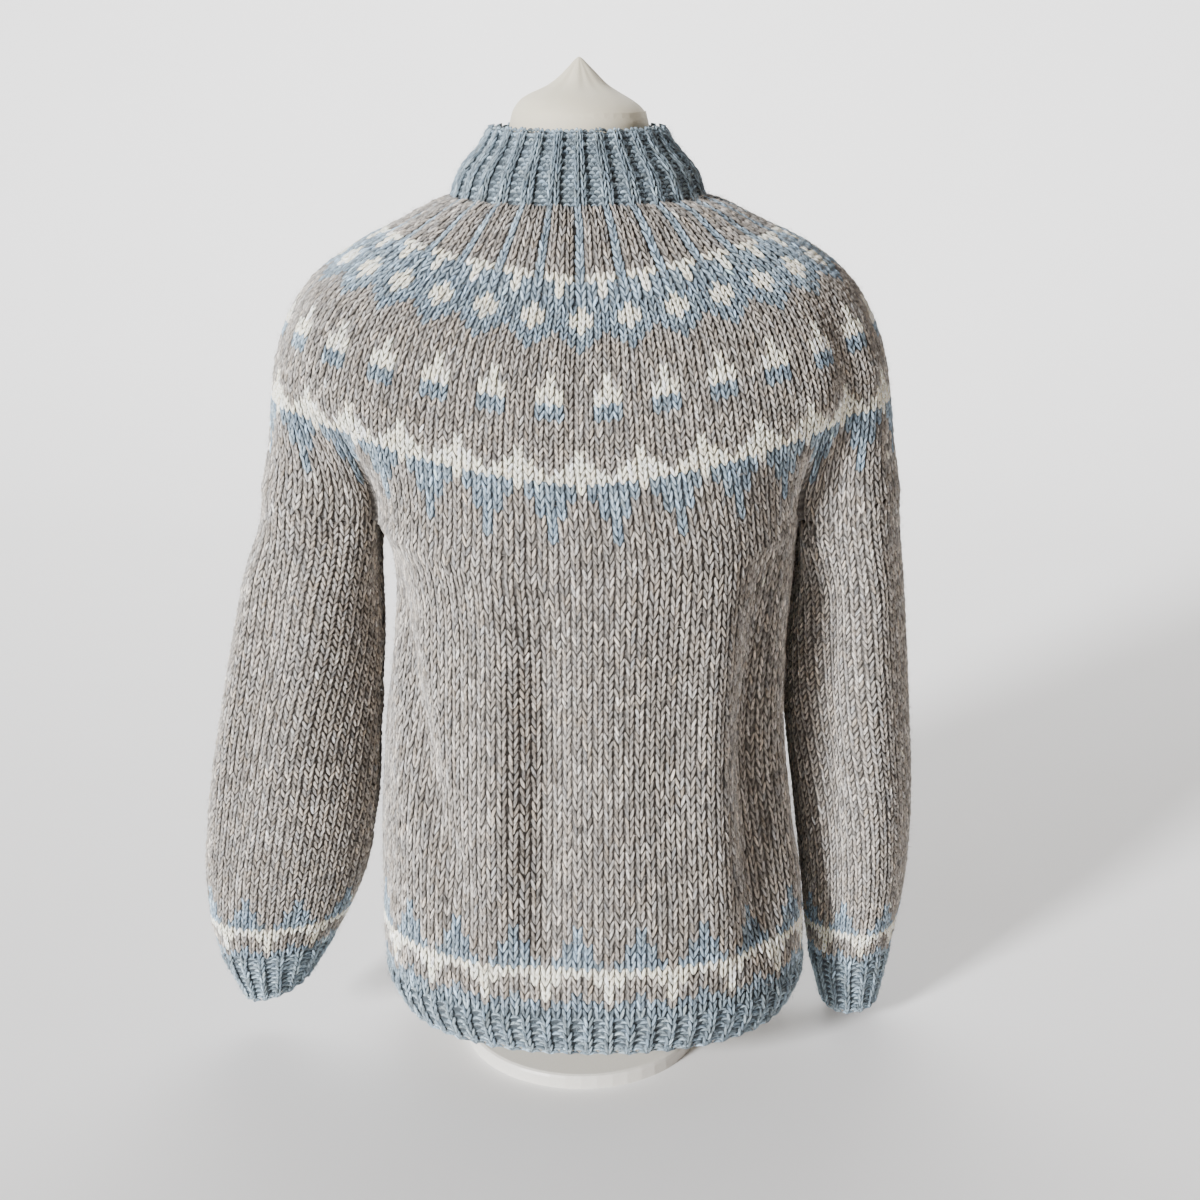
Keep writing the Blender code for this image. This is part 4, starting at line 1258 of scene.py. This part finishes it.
def neck_cap():
    """The dome and its point, fuller on the left, with puckers round the point."""
    drop, left, right = np.array(CAP_PROFILE).T / 1000.0
    runs = np.linspace(0.0, 1.0, len(drop))
    fine = np.linspace(0.0, 1.0, CAP_LEVELS)
    drop, left, right = [np.interp(fine, runs, column) for column in (drop, left, right)]
    for column in (drop, left, right):
        for _ in range(3):
            column[1:-1] = (column[:-2] + 2 * column[1:-1] + column[2:]) / 4
    angle = np.arange(CAP_STEPS) * 2.0 * math.pi / CAP_STEPS
    pucker = np.cos(7 * angle + 0.6) + 0.6 * np.cos(11 * angle + 2.0) + 0.4 * np.cos(17 * angle)
    toward = 0.5 + 0.5 * np.sin(angle)
    points = [(0.0, 0.0, CAP_TOP_Z)]
    for low, near, far in zip(drop[1:], left[1:], right[1:]):
        radii = near + (far - near) * toward
        depth = PUCKER_DEPTH * np.exp(-(((radii - PUCKER_RADIUS) / PUCKER_REACH) ** 2))
        heights = CAP_TOP_Z - low + depth * pucker
        points += list(zip(radii * np.sin(angle), -radii * np.cos(angle), heights))
    points.append((0.0, 0.0, CAP_TOP_Z - drop[-1]))
    faces = [(0, 1 + i, 1 + (i + 1) % CAP_STEPS) for i in range(CAP_STEPS)]
    for k in range(len(drop) - 2):
        a, b = 1 + k * CAP_STEPS, 1 + (k + 1) * CAP_STEPS
        for i in range(CAP_STEPS):
            j = (i + 1) % CAP_STEPS
            faces.append((a + i, b + i, b + j, a + j))
    last = 1 + (len(drop) - 2) * CAP_STEPS
    faces += [(last + i, len(points) - 1, last + (i + 1) % CAP_STEPS) for i in range(CAP_STEPS)]
    mesh = bpy.data.meshes.new("neck_cap")
    mesh.from_pydata(points, [], faces)
    mesh.shade_smooth()
    mesh.set_sharp_from_angle(angle=math.radians(60))
    mesh.materials.append(jersey)
    return placed("neck_cap", mesh)


cap = neck_cap()
print("faces in the cap:", len(cap.data.polygons))
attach(cap, "root")
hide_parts("form_cap")

# %% [markdown]
# Every piece rides on the one body, and each backing cloth stands for its CAD node. A
# tube's cut is its width laid out flat and its length, with the real area where the piece
# isn't a rectangle.

# %% Each piece's material and place on the body
# width round and length of each piece laid out flat, and its area, in metres
CUTS = {
    "yoke": (1.34, 0.31, 0.275, "stretched", ["form_torso"]),
    "body": (1.00, 0.37, 0.366, "hung", ["yoke_cloth"]),
    "neck_rib": (0.56, 0.055, 0.026, "stretched", ["yoke_cloth"]),
    "hem_rib": (1.00, 0.043, 0.042, "hung", ["body_cloth"]),
    "sleeve_left": (0.38, 0.39, 0.135, "hung", ["yoke_cloth"]),
    "sleeve_right": (0.36, 0.41, 0.135, "hung", ["yoke_cloth"]),
    "cuff_left": (0.26, 0.045, 0.0105, "hung", ["sleeve_left_cloth"]),
    "cuff_right": (0.26, 0.056, 0.0125, "hung", ["sleeve_right_cloth"]),
}
for node_name, (wide, long, area, held, rests_on) in CUTS.items():
    cloth = made[node_name]
    going_with = stitches[node_name] + [fuzz[node_name]]
    if node_name in edges:
        going_with.append(edges[node_name])
    cloth.data.materials.append(inside)
    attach(cloth, "root")
    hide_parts(node_name)
    for piece in going_with:
        piece.data.materials.append(wool)
        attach(piece, "root")
print("cloth pieces:", len(CUTS))

# %% [markdown]
# The photograph was taken from a little above the neck, 1.4 m away, with a slight
# downward tilt. The object stands on a plain pale floor that curves up behind it.

# %% Camera and floor
camera_data = bpy.data.cameras.new("camera")
camera_data.lens = 53.5
camera_data.sensor_width = 36.0
camera = placed("camera", camera_data)
camera.location = (0.0155, -1.38, 0.8165)
camera.rotation_euler = (math.radians(72.8), 0.0, 0.0)
bpy.context.scene.camera = camera
# the floor's front edge, where its curve starts, the curve's radius, and its top, in metres
FLOOR_FRONT, CURVE_START, CURVE_RADIUS, FLOOR_TOP = -6.0, 1.6, 1.2, 5.0
FLOOR_HALF_WIDTH = 8.0
# the paper's faint clouds, in mm
GRAIN_SIZE = 1000.0 / 3.0


def pale_floor():
    """Matt paper, as on a photographer's roll: it gives soft shadows and no gloss."""
    look, tree, shader = start_material("matt_paper", 0.9)
    blend_tones(tree, shader, noise(tree, GRAIN_SIZE, 3.0), "#f4f3f2", "#efeeec")
    section = [(FLOOR_FRONT, 0.0), (CURVE_START, 0.0)]
    for turn in np.linspace(0.1, math.pi / 2, 16):
        out, up = CURVE_RADIUS * math.sin(turn), CURVE_RADIUS * (1.0 - math.cos(turn))
        section.append((CURVE_START + out, up))
    section.append((CURVE_START + CURVE_RADIUS, FLOOR_TOP))
    points = [(x, y, z) for y, z in section for x in (-FLOOR_HALF_WIDTH, FLOOR_HALF_WIDTH)]
    faces = [(2 * k, 2 * k + 1, 2 * k + 3, 2 * k + 2) for k in range(len(section) - 1)]
    mesh = bpy.data.meshes.new("floor")
    mesh.from_pydata(points, [], faces)
    mesh.materials.append(look)
    mesh.shade_smooth()
    return placed("floor", mesh)


pale_floor()
print("camera height in metres:", round(camera.location.z, 4))

# %% [markdown]
# Light comes from a window on the left, so the right side turns dark, with a warm glow
# bounced back onto the right sleeve. The room gives a little from the front, and a lamp
# behind the sweater lights the paper.

# %% Light
def face(holder, place, aim):
    """Puts a lamp at a place and turns it to a point."""
    way = np.array(aim) - np.array(place)
    pitch = math.atan2(math.hypot(way[0], way[1]), -way[2])
    holder.location = place
    holder.rotation_euler = (pitch, 0.0, math.atan2(-way[0], way[1]))


def lamp(name, kind, place, strength, hex_colour, spread, aim=(0.0, 0.0, 0.42)):
    """A lamp: spread is a sun's angle in degrees, or a disk's width in metres."""
    light = bpy.data.lights.new(name, kind)
    light.energy = strength
    light.color = linear(hex_colour)
    if kind == "SUN":
        light.angle = math.radians(spread)
    else:
        light.shape = "DISK"
        light.size = spread
    holder = placed(name, light)
    face(holder, place, aim)
    print(name, "gives", strength, "W" if kind == "AREA" else "W to a square metre")


lamp("window", "SUN", (-2.08, -2.27, 1.50), 7.7, "#fbfcff", 10.0)
lamp("room", "AREA", (-0.9, -2.4, 1.4), 6.0, "#fff6ea", 1.2)
lamp("warm_bounce", "AREA", (0.9, -2.3, 0.7), 2.2, "#ffa550", 0.6)
lamp("backdrop", "AREA", (0.0, 1.5, 2.6), 60.0, "#ffffff", 2.0, (0.0, 2.6, 0.6))
world = bpy.data.worlds.new("studio")
bpy.context.scene.world = world
world.use_nodes = True
sky = world.node_tree.nodes["Background"]
sky.inputs["Color"].default_value = (*linear("#ffe6cc"), 1.0)
sky.inputs["Strength"].default_value = 0.03
